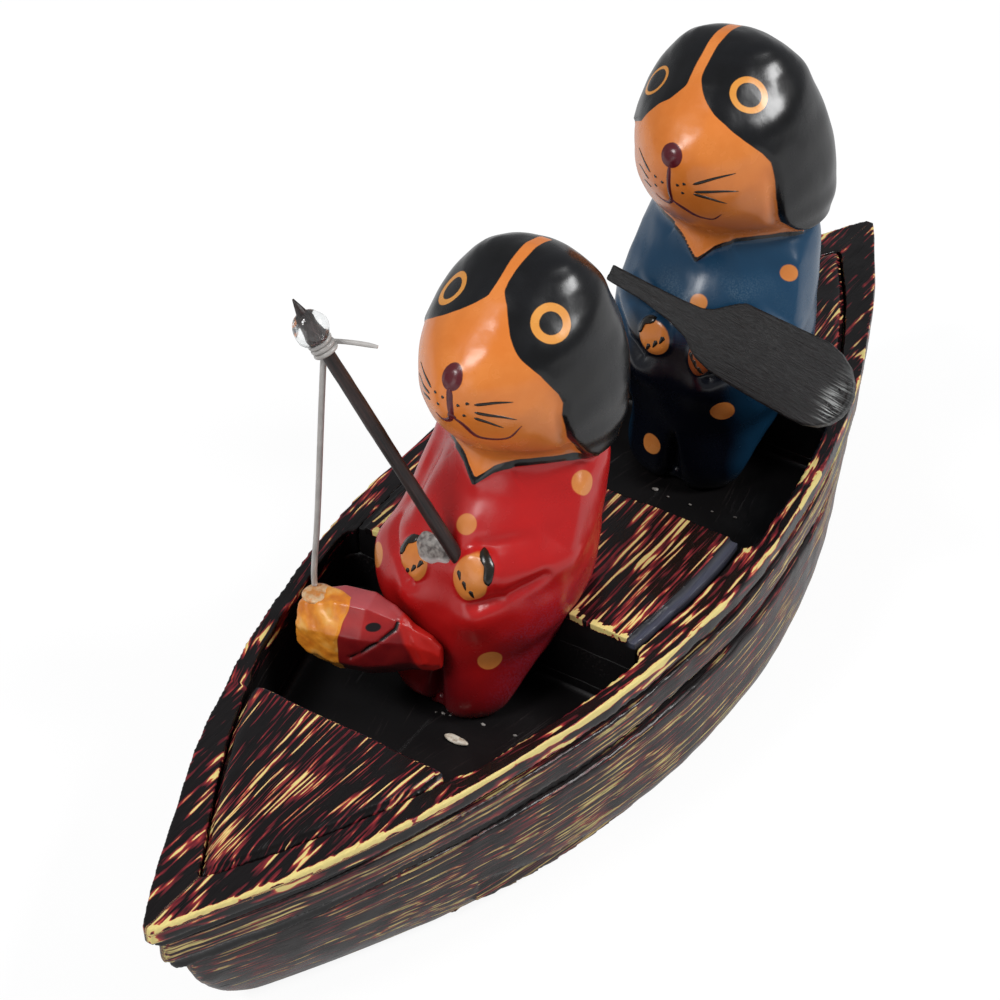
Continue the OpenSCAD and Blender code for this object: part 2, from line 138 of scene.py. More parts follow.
def lamp(name, place, size, watts):
    """A square soft lamp at a place, turned towards the boat."""
    data = bpy.data.lights.new(name, "AREA")
    data.size = size
    data.energy = watts
    item = bpy.data.objects.new(name, data)
    item.location = place
    item.rotation_euler = (Vector((0, 0, 0.05)) - Vector(place)).to_track_quat("-Z", "Y").to_euler()
    bpy.context.scene.collection.objects.link(item)


lamp("window_right", (0.98, 0.46, 1.08), 0.42, 13)
lamp("window_left", (-0.35, -0.75, 1.15), 0.4, 8)
lamp("low_front", (-0.12, -0.95, 0.28), 0.5, 1.2)

# ---- Nylon line ----
# A short length of 1.4 mm nylon, tied to the rod and glued into the fish's mouth. It is stiff
# enough to keep a slight bow, and it is pale and half clear.
MM = 0.001
LINE_ROUTE = [(-23.6, -52.9, 114.4), (-23.7, -53.4, 111), (-24, -54.2, 104), (-24.4, -55, 96),
              (-24.9, -55.8, 87), (-25.5, -56.5, 78), (-26.1, -57.3, 69), (-26.8, -58.1, 61),
              (-27.2, -58.2, 57), (-27.4, -58.1, 54)]
LINE_DIAMETER = 1.4


def smooth_through(places, values, wanted):
    """Values at the wanted places on one smooth curve through the known ones."""
    places, values = np.asarray(places, float), np.asarray(values, float)
    slopes = np.gradient(values, places, axis=0)
    i = np.clip(np.searchsorted(places, wanted, side="right") - 1, 0, len(places) - 2)
    step = places[i + 1] - places[i]
    t = (wanted - places[i]) / step
    if values.ndim > 1:
        t, step = t[:, None], step[:, None]
    return ((1 + 2 * t) * (1 - t) ** 2 * values[i] + t * (1 - t) ** 2 * step * slopes[i]
            + t * t * (3 - 2 * t) * values[i + 1] - t * t * (1 - t) * step * slopes[i + 1])


def finish_piece(piece, name, material, slot, *nodes, body="boat"):
    """Names a piece, paints it, and lets it stand for its CAD nodes on a body."""
    piece.name = name
    piece.data.materials.clear()
    piece.data.materials.append(material)
    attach(piece, body)
    if nodes:
        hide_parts(*nodes)


ROUTE_STEPS = np.linspace(0, len(LINE_ROUTE) - 1, 28)
LINE_POINTS = smooth_through(np.arange(len(LINE_ROUTE)), LINE_ROUTE, ROUTE_STEPS) * MM


def nylon_run(name, points, radius):
    """A round curve of nylon through the points."""
    curve = bpy.data.curves.new(name, "CURVE")
    curve.dimensions = "3D"
    curve.bevel_depth = radius * MM
    curve.bevel_resolution = 3
    spline = curve.splines.new("POLY")
    spline.points.add(len(points) - 1)
    for point, place in zip(spline.points, points):
        point.co = (*place, 1)
    run = bpy.data.objects.new(name, curve)
    bpy.context.scene.collection.objects.link(run)
    return run


line = nylon_run("fishing_line_run", LINE_POINTS, LINE_DIAMETER / 2)

# Drawn nylon 6: smooth, milky and half clear, so it lets some light through.
nylon, tree = new_material("drawn nylon monofilament")
place = add(tree, "TexCoord", output="Object")
milk = add(tree, "TexNoise", {"Vector": place, "Scale": 260.0, "Detail": 2.0}, output="Fac")
nylon_colour = add(tree, "ValToRGB", {"Fac": milk}, stops=[
    (0.3, linear("B4B0AC")), (0.7, linear("D2CECA"))])
surface(tree, add(tree, "BsdfPrincipled", {
    "Base Color": nylon_colour, "Roughness": 0.28, "IOR": 1.53, "Transmission Weight": 0.25}))
finish_piece(line, "fishing_line_run", nylon, "nylon_line", "fishing_line", body="catch")

# ---- Boat: hull, strake and gunwale ----
# Three tiers of light softwood, sawn to shape, carved and glued on each other. They were painted
# cream, salmon and red, then black, and the black was rubbed through along the grain.
BOAT_LENGTH, BOAT_BEAM, FULLNESS, TIP_RADIUS = 300, 93.4, 1.95, 2
HULL_TOP, STRAKE_TOP, GUNWALE_TOP = 27, 37, 44
LOWER_GROOVE_TOP, UPPER_GROOVE_TOP = 30.5, 39.5
FLOOR = 24
FRONT_WELL, REAR_WELL = (-82.75, -28.5), (13.5, 70)
WELL_RAIL, THWART_RAIL = 4.2, 7.2


def outline_half(y):
    """Half width of the boat's plan outline at y."""
    angle = math.atan(BOAT_BEAM * FULLNESS / BOAT_LENGTH)
    sharp = BOAT_LENGTH / 2 + TIP_RADIUS * (1 / math.sin(angle) - 1)
    return BOAT_BEAM / 2 * (1 - np.minimum(1, np.abs(y) / sharp) ** FULLNESS)


def smooth_faces(piece):
    """Shades every face of a piece smooth."""
    piece.data.polygons.foreach_set("use_smooth", np.ones(len(piece.data.polygons), bool))


def carved_copy(node, voxel, rounds):
    """A welded copy of a CAD node, remeshed evenly and smoothed so that its edges round off."""
    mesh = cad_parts[node].data.copy()
    mesh.materials.clear()
    piece = bpy.data.objects.new(node + "_carved", mesh)
    bpy.context.scene.collection.objects.link(piece)
    deselect()
    piece.select_set(True)
    bpy.context.view_layer.objects.active = piece
    bpy.ops.object.mode_set(mode="EDIT")
    bpy.ops.mesh.select_all(action="SELECT")
    bpy.ops.mesh.remove_doubles(threshold=0.00001)
    bpy.ops.object.mode_set(mode="OBJECT")
    remesh(piece, voxel, rounds)
    return piece


def remesh(piece, voxel, rounds):
    """Gives a piece an even skin of small faces, then smooths it."""
    bpy.context.view_layer.objects.active = piece
    even = piece.modifiers.new("even skin", "REMESH")
    even.mode = "VOXEL"
    even.voxel_size = voxel * MM
    bpy.ops.object.modifier_apply(modifier=even.name)
    soften = piece.modifiers.new("softened", "SMOOTH")
    soften.factor = 0.5
    soften.iterations = rounds
    bpy.ops.object.modifier_apply(modifier=soften.name)
    smooth_faces(piece)


def points_of(piece):
    """The piece's points in millimetres."""
    flat = np.zeros(len(piece.data.vertices) * 3, np.float32)
    piece.data.vertices.foreach_get("co", flat)
    return flat.reshape(-1, 3).astype(float) / MM


def normals_of(piece):
    """The piece's outward directions, one at each point."""
    flat = np.zeros(len(piece.data.vertices) * 3, np.float32)
    piece.data.vertices.foreach_get("normal", flat)
    return flat.reshape(-1, 3).astype(float)


def move_points(piece, points):
    """Puts the piece's points at these places, given in millimetres."""
    piece.data.vertices.foreach_set("co", (np.asarray(points) * MM).astype(np.float32).ravel())
    piece.data.update()


def store(piece, name, values):
    """Keeps one number or one vector per point for the paint to read."""
    values = np.asarray(values, np.float32)
    kind = "FLOAT" if values.ndim == 1 else "FLOAT_VECTOR"
    layer = piece.data.attributes.get(name) or piece.data.attributes.new(name, kind, "POINT")
    layer.data.foreach_set("value" if values.ndim == 1 else "vector", values.ravel())


def ripple(points, size, seed, waves=14):
    """Smooth random numbers about -1 to 1 at the points, with bumps of about the given size."""
    chance = np.random.default_rng(seed)
    total = np.zeros(len(points))
    for _ in range(waves):
        way = chance.normal(size=3)
        way *= 2 * math.pi / (size * chance.uniform(0.8, 1.7)) / np.linalg.norm(way)
        total += np.sin(np.asarray(points) @ way + chance.uniform(0, 2 * math.pi))
    return total / math.sqrt(waves / 2) / 1.6


def near(distance, width):
    """1 on a line and falling to 0 at about its width to either side."""
    return np.exp(-(distance / width) ** 2)


def step_up(values, low, high):
    """0 below low, 1 above high, and a smooth rise between."""
    t = np.clip((values - low) / (high - low), 0, 1)
    return t * t * (3 - 2 * t)


def flush_walls(points):
    """Brings the tiers' faces in each well into one plane, as the paint has filled their joints."""
    x, y, z = points.T
    side = outline_half(y) - WELL_RAIL
    low = z < GUNWALE_TOP - 1.2
    step, corner = 1.1, 3
    for start, end in (FRONT_WELL, REAR_WELL):
        for wall in (start, end):
            on_wall = low & (np.abs(y - wall) < step) & (np.abs(x) < side - corner)
            points[on_wall, 1] = wall
        on_side = low & (np.abs(np.abs(x) - side) < step) & (y > start + corner) & (y < end - corner)
        points[on_side, 0] = (np.sign(x) * side)[on_side]
    return points


def hand_carved(piece):
    """Gives the boat's pieces one shared waviness, as from a knife, and returns the points."""
    points = flush_walls(points_of(piece))
    sway = np.stack([ripple(points, 34, 1), ripple(points, 40, 2), ripple(points, 30, 3)], 1)
    nicks = np.stack([ripple(points, 7, seed) for seed in (4, 5, 6)], 1)
    off_floor = step_up(points[:, 2], 0.2, 3)[:, None]
    carved = points + off_floor * (0.22 * sway + 0.09 * nicks)
    move_points(piece, carved)
    return carved


def rubbed_paint(name, across, along, cover, haze):
    """Black paint rubbed through to maroon, red, salmon and cream in strokes along the grain."""
    material, tree = new_material(name)
    grain = add(tree, "Attribute", output="Vector", attribute_name="grain")
    rub = add(tree, "Attribute", output="Fac", attribute_name="rub")
    long_strokes = add(tree, "VectorMath", {0: grain, 1: (1 / across, 1 / along, 1 / across)},
                       operation="MULTIPLY")
    strokes = add(tree, "TexNoise", {
        "Vector": long_strokes, "Scale": 1.0, "Detail": 1.5, "Roughness": 0.45,
        "Distortion": 0.25}, output="Fac")
    # Short nicks, about 0.7 x 4 mm, that break the strokes' edges.
    nicks = add(tree, "VectorMath", {0: grain, 1: (1 / 0.7, 1 / 4, 1 / 0.7)}, operation="MULTIPLY")
    nicks = add(tree, "TexNoise", {"Vector": nicks, "Scale": 1.0, "Detail": 2.0}, output="Fac")
    # Broad areas, about 10 x 22 mm, where the sandpaper bore harder.
    broad = add(tree, "VectorMath", {0: grain, 1: (1 / 10, 1 / 22, 1 / 10)}, operation="MULTIPLY")
    patches = add(tree, "TexNoise", {"Vector": broad, "Scale": 1.0, "Detail": 1.0}, output="Fac")
    field = add(tree, "Math", {0: patches, 1: 0.34, 2: strokes}, operation="MULTIPLY_ADD")
    field = add(tree, "Math", {0: nicks, 1: 0.16, 2: field}, operation="MULTIPLY_ADD")
    field = add(tree, "Math", {0: field, 1: rub}, operation="ADD")
    field = add(tree, "Math", {0: field, 1: cover - 0.25}, operation="ADD")
    paint = add(tree, "ValToRGB", {"Fac": field}, stops=[
        (0.0, linear("070506")), (1.0, linear("F0DC8C")), (0.525, linear("0B0708")), (0.545, linear("45121A")),
        (0.61, linear("86222C")), (0.64, linear("C04A3C")), (0.655, linear("E8A468")),
        (0.665, linear("F0DC8C"))])
    # Down in the wells nothing is rubbed, and the black is duller.
    unrubbed = add(tree, "MapRange", {"Value": field, "From Min": 0.2, "From Max": 0.3,
                                      "To Min": 1.0, "To Max": 0.0}, output="Result")
    # Thin black left in the rubbed places, in grains about 0.4 mm wide and a few mm long: a grey film that
    # darkens the rubbed strokes and also greys the black as a painted sheen, most on the hull's sides.
    hairs = add(tree, "VectorMath", {0: grain, 1: (2.6, 0.2, 2.6)}, operation="MULTIPLY")
    black_film_and_sheen = add(tree, "TexNoise", {"Vector": hairs, "Scale": 1.0, "Detail": 2.0}, output="Fac")
    black_film_and_sheen = add(tree, "MapRange", {"Value": black_film_and_sheen, "From Min": 0.4, "From Max": 0.58,
                                  "To Min": 0.4 * haze, "To Max": haze}, output="Result")
    black_film_and_sheen = add(tree, "Mix", {0: unrubbed, 2: black_film_and_sheen, 3: 0.0}, output=0)
    paint = add(tree, "Mix", {0: black_film_and_sheen, 6: paint, 7: linear("302C2C")}, output=2, data_type="RGBA")
    # Painted reflection: edges coloured the slate grey that black gloss shows where it catches the room's
    # light, on the thwart's starboard end and the decks' edges at the wells.
    bared = add(tree, "Attribute", output="Fac", attribute_name="bared")
    bared = add(tree, "Math", {0: bared, 1: black_film_and_sheen, 2: bared}, operation="MULTIPLY_ADD")
    paint = add(tree, "Mix", {0: bared, 6: paint, 7: linear("4A4D5C")}, output=2, data_type="RGBA")
    # Glossy on the black, duller where it is rubbed, and dull down in the wells.
    gloss = add(tree, "MapRange", {"Value": field, "From Min": 0.5, "From Max": 0.68,
                                   "To Min": 0.26, "To Max": 0.46}, output="Result")
    gloss = add(tree, "Math", {0: unrubbed, 1: 0.26, 2: gloss}, operation="MULTIPLY_ADD")
    lumps = add(tree, "TexNoise", {"Vector": grain, "Scale": 0.5, "Detail": 2.0}, output="Fac")
    scraped = add(tree, "Math", {0: gloss, 1: -0.7}, operation="MULTIPLY")
    height = add(tree, "Math", {0: lumps, 1: 0.35, 2: scraped}, operation="MULTIPLY_ADD")
    bump = add(tree, "Bump", {"Height": height, "Strength": 0.5, "Distance": 0.0003}, output="Normal")
    surface(tree, add(tree, "BsdfPrincipled", {
        "Base Color": paint, "Roughness": gloss, "IOR": 1.5, "Specular IOR Level": 0.32, "Normal": bump}))
    return material


# Long strokes on the sides under a strong grey haze, which is partly a painted sheen, and shorter, brighter
# ones on the rails: mm across, mm along.
hull_paint = rubbed_paint("black paint rubbed through on carved softwood", 0.6, 30, 0.028, 0.75)
rail_paint = rubbed_paint("black paint rubbed through on the rails", 0.9, 11, -0.03, 0.15)
NEVER_RUBBED = 0.5      # taken off the rub layer where no sandpaper reached
OUTLINE_REACH = 150.6   # about where the two sides would meet if the tips weren't rounded


def side_distance(points):
    """Distance in from the boat's outline, about square to it."""
    reach = np.abs(points[:, 1]) / OUTLINE_REACH
    slope = BOAT_BEAM / 2 * FULLNESS / OUTLINE_REACH * reach ** (FULLNESS - 1)
    return (outline_half(points[:, 1]) - np.abs(points[:, 0])) / np.hypot(1, slope)


def grain_along_sides(points):
    """Coordinates for strokes that follow the boat's sides, different to port and starboard."""
    side = np.where(points[:, 0] > 0, 60.0, -60.0)
    return np.stack([side + side_distance(points), points[:, 1], points[:, 2]], 1)


def in_well(points, margin):
    """How far inside a well's opening a point lies, in millimetres; below 0 is outside."""
    x, y = np.abs(points[:, 0]), points[:, 1]
    across = outline_half(y) - WELL_RAIL - x + margin
    return np.maximum(*[np.minimum(across, np.minimum(y - start, end - y) + margin)
                        for start, end in (FRONT_WELL, REAR_WELL)])


hull = carved_copy("lower_hull", 0.85, 3)
shape = hand_carved(hull)
store(hull, "grain", grain_along_sides(shape))
long_scuffs = ripple(shape * (1, 0.25, 1), 26, 31)
rub = 0.04 * long_scuffs + 0.04 * near(shape[:, 2] - HULL_TOP, 1.6) * (long_scuffs > 0.2)
rub += 0.03 * step_up(shape[:, 0], 5, 25) * step_up(shape[:, 1], -90, -20)
rub += 0.08 * near(shape[:, 1] + 140.5, 2.5) * near(shape[:, 2] - HULL_TOP + 2, 4)
rub -= NEVER_RUBBED * (in_well(shape, 1.0) > 0) * (shape[:, 2] > FLOOR - 1.5)
store(hull, "rub", rub)
finish_piece(hull, "lower_hull_carved", hull_paint, "hull_paint", "lower_hull")

strake = carved_copy("middle_strake", 0.75, 3)
shape = hand_carved(strake)
store(strake, "grain", grain_along_sides(shape + (0, 0, 30)))
long_scuffs = ripple(shape * (1, 0.25, 1), 22, 32)
rub = 0.035 * long_scuffs + 0.02
rub += 0.06 * near(shape[:, 2] - STRAKE_TOP + 0.8, 1.2) * (long_scuffs > -0.1)
rub += 0.1 * near(shape[:, 1] + 146.5, 1.8)
rub -= NEVER_RUBBED * (shape[:, 2] < LOWER_GROOVE_TOP + 0.2)
rub -= NEVER_RUBBED * (in_well(shape, 1.0) > 0)
store(strake, "rub", rub)
finish_piece(strake, "middle_strake_carved", hull_paint, "hull_paint", "middle_strake")

gunwale = carved_copy("gunwale", 0.55, 3)
shape = hand_carved(gunwale)
x, y, z = shape.T
grain = grain_along_sides(shape)
# On top, the strokes run straight fore and aft at the boat's ends.
STRAIGHT_FROM = 84
straight = (np.abs(y) > STRAIGHT_FROM) * (z > GUNWALE_TOP - 1.5)
grain[:, 0] += straight * (0.8 * (outline_half(85.0) - np.abs(x)) - side_distance(shape))
grain[:, 2] = 90 + 0.5 * z
store(gunwale, "grain", grain)
in_from_edge = side_distance(shape)
starboard = x > 0
patchy = ripple(shape * (0.2, 1, 0.2), 24, 33)
# A cream line along the outer edge: whole on the starboard bow, broken further aft and to port.
whole = np.maximum(step_up(-y, 5, 30), 0.9 * (patchy > 0.25)) * step_up(-y, -85, -60)
gaps = np.where(starboard, whole, step_up(patchy, 0.0, 0.6))
along = shape * (0, 1, 0)
edge = np.hypot(np.maximum(0, in_from_edge - 0.2), np.minimum(0, z - GUNWALE_TOP + 0.5))
line_width = np.where(starboard, 0.4 + 0.34 * near(y + 42, 32), 0.4)
line_width = line_width * (1 + 0.35 * ripple(along, 12, 34) + 0.14 * ripple(shape, 2.6, 36))
rub = np.where(starboard, 0.3, 0.16) * step_up(line_width - edge, -0.3, 0.3) * gaps
# Rubbed to cream across the rail beside the rear well, and thin lines inside the edge line.
rub += 0.16 * starboard * near(y - 46, 8) * step_up(ripple(shape, 7, 37), -0.2, 0.4) * (z > GUNWALE_TOP - 1)
rub += (0.07 * starboard * near(in_from_edge - 2.6, 0.5) * step_up(y, -40, -10)
        * step_up(ripple(along, 8, 38), -0.3, 0.3))
below = np.clip((GUNWALE_TOP - z) / 4.5, 0, 1)
rub += 0.075 * starboard * (in_from_edge < 0.9) * (1 - 0.6 * below)
well_edge = np.hypot(in_well(shape, 0.0), np.minimum(0, z - GUNWALE_TOP + 0.4))
rub += (0.11 * near(well_edge, 0.7) * np.where(starboard, 1.0, 0.35)
        * step_up(ripple(along, 5, 39), -0.8, 0.2))
rub += 0.16 * near(y + 150, 1.6) - 0.05 * step_up(y, 60, 90)
rub -= NEVER_RUBBED * (z < UPPER_GROOVE_TOP + 0.2)
rub -= NEVER_RUBBED * (in_well(shape, -0.1) > 0) * (z < GUNWALE_TOP - 1.2)
store(gunwale, "rub", rub)
finish_piece(gunwale, "gunwale_carved", rail_paint, "hull_paint", "gunwale")

# ---- Boat: foredeck, thwart and stern deck ----
# Three boards let into the gunwale, a little proud of it, painted and rubbed in the same way
# but in shorter, bolder strokes that run fore and aft.
deck_paint = rubbed_paint("black paint rubbed through on the decks", 0.85, 16, -0.004, 0.12)
DECK_TOP, THWART_TOP = 45.5, 46.0
DECK_RAIL, DECK_TIP, DECK_FULLNESS = 5, 132.4, 2.15
for node, top, seed in (("foredeck", DECK_TOP, 41), ("stern_deck", DECK_TOP, 42), ("thwart", THWART_TOP, 43)):
    board = carved_copy(node, 0.5, 2)
    shape = hand_carved(board)
    x, y, z = shape.T
    drop = top - z
    rub = 0.045 * ripple(shape * (1, 0.6, 1), 16, seed) - 0.45 * (drop > 1.9)
    if node == "thwart":
        end = (outline_half(y) - THWART_RAIL) - np.abs(x)
        across = x
        rub += 0.012 - 0.3 * (end < 2.4)
        # Worn to cream in three places along the front edge, with ragged inner ends.
        from_front = y - FRONT_WELL[1]
        teeth = 1.2 + 1.1 * ripple(shape * (1, 0, 0), 1.5, 44) + 0.8 * ripple(shape * (1, 0, 0), 4, 45)
        worn = ((x > 20.5) & (x < 24)) | ((x > 26) & (x < 35.5)) | ((x > -34) & (x < -27))
        rub += 0.3 * worn * (from_front < teeth) * (drop < 1.5)
        # Painted reflection on the thwart's starboard end bevel.
        store(board, "bared", 0.85 * near(end - 0.9, 1.0) * (drop < 2.6) * (x > 0))
    else:
        # The strokes fan out from the tip, and the boards' long sides are rubbed down low.
        across = x / np.maximum(0.4, outline_half(y) / (BOAT_BEAM / 2)) ** 0.55
        side = (BOAT_BEAM / 2 - DECK_RAIL) * (1 - np.minimum(1, np.abs(y) / DECK_TIP) ** DECK_FULLNESS)
        side = side - np.abs(x)
        shape[:, 2] -= 1.1 * near(side, 2.2) * (drop < 2.5)
        if node == "stern_deck":
            rub += 0.015
        from_well = np.where(y < 0, y - FRONT_WELL[0], y - REAR_WELL[1])
        # Painted reflection along the boards' edges at the wells.
        store(board, "bared", 0.5 * near(from_well, 0.6) * (drop < 1.4))
        move_points(board, shape)
    store(board, "grain", np.stack([across + seed * 30, y, z * 0.3], 1))
    store(board, "rub", rub)
    finish_piece(board, node + "_board", deck_paint, "deck_paint", node)

# ---- Dogs ----
# Two dogs cut from one pattern in light softwood, with rounded ears standing proud of the cheeks,
# sleeves and paws in low relief, and gloss paint all over. Each sits on the board behind it.
FIGURE = np.array([
    (0, 11.6, -2.2, 8.5, 0), (2, 13.6, -3.2, 12, 0), (5, 15.2, -3, 15, 0), (11, 16.8, -2.4, 29, 0),
    (15, 18.2, -2.2, 41, -0.04), (20, 20.4, -2, 46.5, -0.1), (27, 22.6, -1.4, 48.8, -0.15),
    (34, 23.4, 0, 49.5, -0.17), (42, 23.2, 2.2, 49.5, -0.12), (49, 22.2, 6.8, 49, -0.02),
    (55, 21, 12, 48, 0.08), (61, 20, 14.2, 47, 0.15), (65, 20.8, 13.6, 47.6, 0.2),
    (68, 22.2, 11.2, 49, 0.23), (72, 22.4, 8, 50.8, 0.25), (77, 21.9, 5.1, 52, 0.25),
    (83, 20.8, 3.6, 52.2, 0.25), (89, 19.7, 4.5, 51, 0.24), (94, 18.2, 8.8, 49, 0.23),
    (98, 15.8, 14.8, 47.4, 0.2), (101.5, 13.2, 20.2, 44.6, 0.16), (104, 10.2, 25.7, 41.4, 0.1),
    (105.5, 6.2, 30, 37.6, 0.04), (106, 2, 33, 35.5, 0)])
PATTERN_HEIGHT = 106
RING_SIDES = 96


def in_turn(verts, right, up):
    """The points of one ring in order round its middle, seen with the axes right and up."""
    middle = sum((v.co for v in verts), Vector()) / len(verts)
    half_step = math.pi / len(verts)
    return sorted(verts, key=lambda v: (math.atan2(v.co[up] - middle[up], v.co[right] - middle[right])
                                        + half_step) % (2 * math.pi))


levels = np.concatenate([np.arange(0, 100, 1.25), [101, 102, 103, 104, 104.8, 105.4, 105.8, 106]])
sections = smooth_through(FIGURE[:, 0], FIGURE[:, 1:], levels)
deselect()
bpy.ops.mesh.primitive_circle_add(vertices=RING_SIDES, radius=0.01, fill_type="NGON", location=(0, 0, 0))
pattern = bpy.context.object
bpy.ops.object.mode_set(mode="EDIT")
turn = np.linspace(0, 2 * math.pi, RING_SIDES, endpoint=False)
for i, (z, (half, front, back, narrowing)) in enumerate(zip(levels, sections)):
    if i:
        bpy.ops.mesh.extrude_region_move()
    skin = bmesh.from_edit_mesh(pattern.data)
    ring = in_turn([v for v in skin.verts if v.select], 0, 1)
    for v, a in zip(ring, turn):
        v.co = Vector((half * math.cos(a) * (1 + narrowing * math.sin(a)),
                       (front + back) / 2 + (back - front) / 2 * math.sin(a), z)) * MM
    bmesh.update_edit_mesh(pattern.data)
bpy.ops.mesh.select_all(action="SELECT")
bpy.ops.mesh.normals_make_consistent(inside=False)
bpy.ops.object.mode_set(mode="OBJECT")
remesh(pattern, 0.6, 3)


def from_segment(points, a, b):
    """Distance from each point to the segment between a and b."""
    a, b = np.array(a, float), np.array(b, float)
    t = np.clip((points - a) @ (b - a) / ((b - a) @ (b - a)), 0, 1)
    return np.linalg.norm(points - a - t[:, None] * (b - a), axis=1)


# What sets each dog apart, in millimetres on the pattern: its place and lean on the boat, the eyes
# (place, outer and inner radius), nose, mouth, edge of the black cap to port and starboard, whiskers,
# spots on the tunic (place, radius), and paws (x, z, half width, half height).
DOGS = {
    "front": dict(
        feet=(-1, -48.5, 24), height=105, lean=(0, 2.5, 2.4), seat=(-28.5, 46.0), blaze=0.2,
        eyes=((12.6, 22.7, 97.5, 4.45, 2.6), (-11.8, 22.6, 98.2, 4.25, 2.85)),
        nose=(-0.6, 89.7, 2.5, 2.6), mouth=(0.1, 80.6),
        piping=0.85, hip=3.2, foot_lift=2.6, lip=1.8, hem=59.4, arm=4.2,
        port=((-0.5, 22.3, 102.4), (-1, 20.5, 101.6), (-2.5, 19, 100.5), (-4.2, 17.8, 99.3),
              (-7.2, 16.7, 97.4), (-11.9, 16.5, 94.3), (-16.6, 17.6, 91), (-19, 22, 87), (-20.2, 25, 82),
              (-20.5, 27, 76), (-20.4, 28, 70.4), (-19.5, 29, 62.7)),
        starboard=((1.6, 22.3, 102.4), (3.6, 19.8, 100.8), (5.2, 17.6, 98.9), (6.9, 15.7, 96.8),
                   (9.1, 14.1, 94.7), (10.7, 14, 93.1), (12.6, 14.6, 91.3), (14.5, 15.5, 89.1),
                   (16, 17.1, 86), (17.2, 18.5, 83.4), (17.9, 19.5, 80.6), (17.9, 19.2, 77.6),
                   (18.2, 21.2, 70.4), (18.7, 26.2, 62.7)),
        whiskers=(((5, 84.8), (11.3, 84.5)), ((5.1, 82.9), (12, 79.9)), ((5, 81.4), (9.8, 78)),
                  ((-5.7, 85.3), (-12.4, 85.6)), ((-6.2, 83.5), (-13.6, 81.5)), ((-6, 82), (-10.1, 80.3))),
        freckles=((1.8, 84.2), (3.7, 85), (3.1, 81.8), (-4.2, 85.1), (-2, 85), (-3.3, 82.6)),
        smile=((0.3, 80.4), (2, 79.2), (4.9, 74.8), (9.8, 74), (12.5, 77.5)),
        smirk=((0.1, 80.4), (-1.2, 78.7), (-3.1, 78), (-4.6, 79.2)),
        spots=((19.7, 25.4, 55.3, 2.9), (1.9, 7.2, 49.2, 2.4), (11.3, 2, 17.1, 2.8), (-21.2, 6.5, 31, 3.0),
               (-21, 30, 50, 2.8), (6, 48, 44, 2.8), (-8, 49, 30, 2.8)),
        paws=((-8.0, 38.9, 3.7, 4.6), (6.9, 40.2, 4.3, 5.3))),
    "rear": dict(
        feet=(1, 50, 24), height=110, lean=(4, -1, 4), seat=(70.0, 45.5), blaze=-2.4,
        eyes=((9.9, 21.8, 99.2, 4.35, 2.9), (-13.4, 22.1, 96.5, 4.0, 3.15)),
        nose=(-0.9, 89.4, 2.6, 2.4), mouth=(-1.3, 77.4),
        piping=0.5, hip=0.6, foot_lift=0.5, lip=1.2, hem=61.6, arm=0.5,
        port=((-2.7, 20.6, 101.5), (-3.9, 18, 99.5), (-6.4, 15.5, 97), (-8.6, 14.8, 95.5),
              (-10.8, 14.1, 93.1), (-12.9, 14, 90.2), (-16.8, 17.5, 87), (-19.2, 22, 83.5),
              (-20.4, 26, 78), (-20.4, 28, 70.3), (-19.5, 29, 64.1)),
        starboard=((-1.2, 21, 101.9), (1.3, 17, 99.3), (3, 15.4, 98.1), (5.2, 14.4, 96.7),
                   (7.8, 14, 95.3), (11.3, 14.3, 92.8), (13.2, 15.2, 91), (15.4, 16.7, 88.4),
                   (16.6, 18.1, 85.7), (17.5, 18.7, 80.8), (17.8, 19, 75.2), (17.4, 20.2, 70.3),
                   (17.4, 21.6, 67.6), (18.1, 24.9, 64.1)),
        whiskers=(((4.4, 83.7), (11.8, 85.3)), ((4.6, 81.7), (12.4, 80.7)), ((4.4, 81.1), (10.2, 77.6)),
                  ((-6.6, 83.2), (-12.3, 84.8)), ((-7.6, 80.7), (-12.8, 80.1)), ((-7.3, 78.3), (-11, 77.2))),
        freckles=((1.1, 83), (2.6, 83.6), (2.1, 81), (-4.8, 83.1), (-2.8, 82.5), (-5, 80.4)),
        smile=((-1.2, 77.4), (1.4, 75.5), (4.1, 73), (6.3, 72), (8.6, 73.9)),
        smirk=((-1.3, 77.4), (-2.6, 76), (-4.6, 75.8), (-6.2, 76.8)),
        spots=((18.9, 22.1, 53.4, 2.3), (3.4, 7.9, 48.6, 2.4), (11.6, 1.6, 24, 2.9), (-5.4, -1.7, 9.6, 2.7),
               (-19.8, 27, 52, 2.6), (21, 34, 34, 2.8), (-21, 30, 34, 2.8), (4, 49, 42, 2.8)),
        paws=((-5.0, 40.1, 4.0, 4.1), (6.8, 38.4, 2.8, 4.2))),
}
# Height of the collar's edge, out from the middle of the chest.
COLLAR = np.array([(0, 56.5), (2, 58.3), (4, 60.2), (6, 61.2), (9, 62.2), (13, 62.5), (17, 62), (20, 60.5),
                   (24, 60.5)])
HEAD_AXIS = 34.0        # where the head's upright axis stands, back from between the feet


def collar_height(points):
    """Height above the edge of the tunic's collar."""
    return points[:, 2] - np.interp(np.abs(points[:, 0]), COLLAR[:, 0], COLLAR[:, 1])


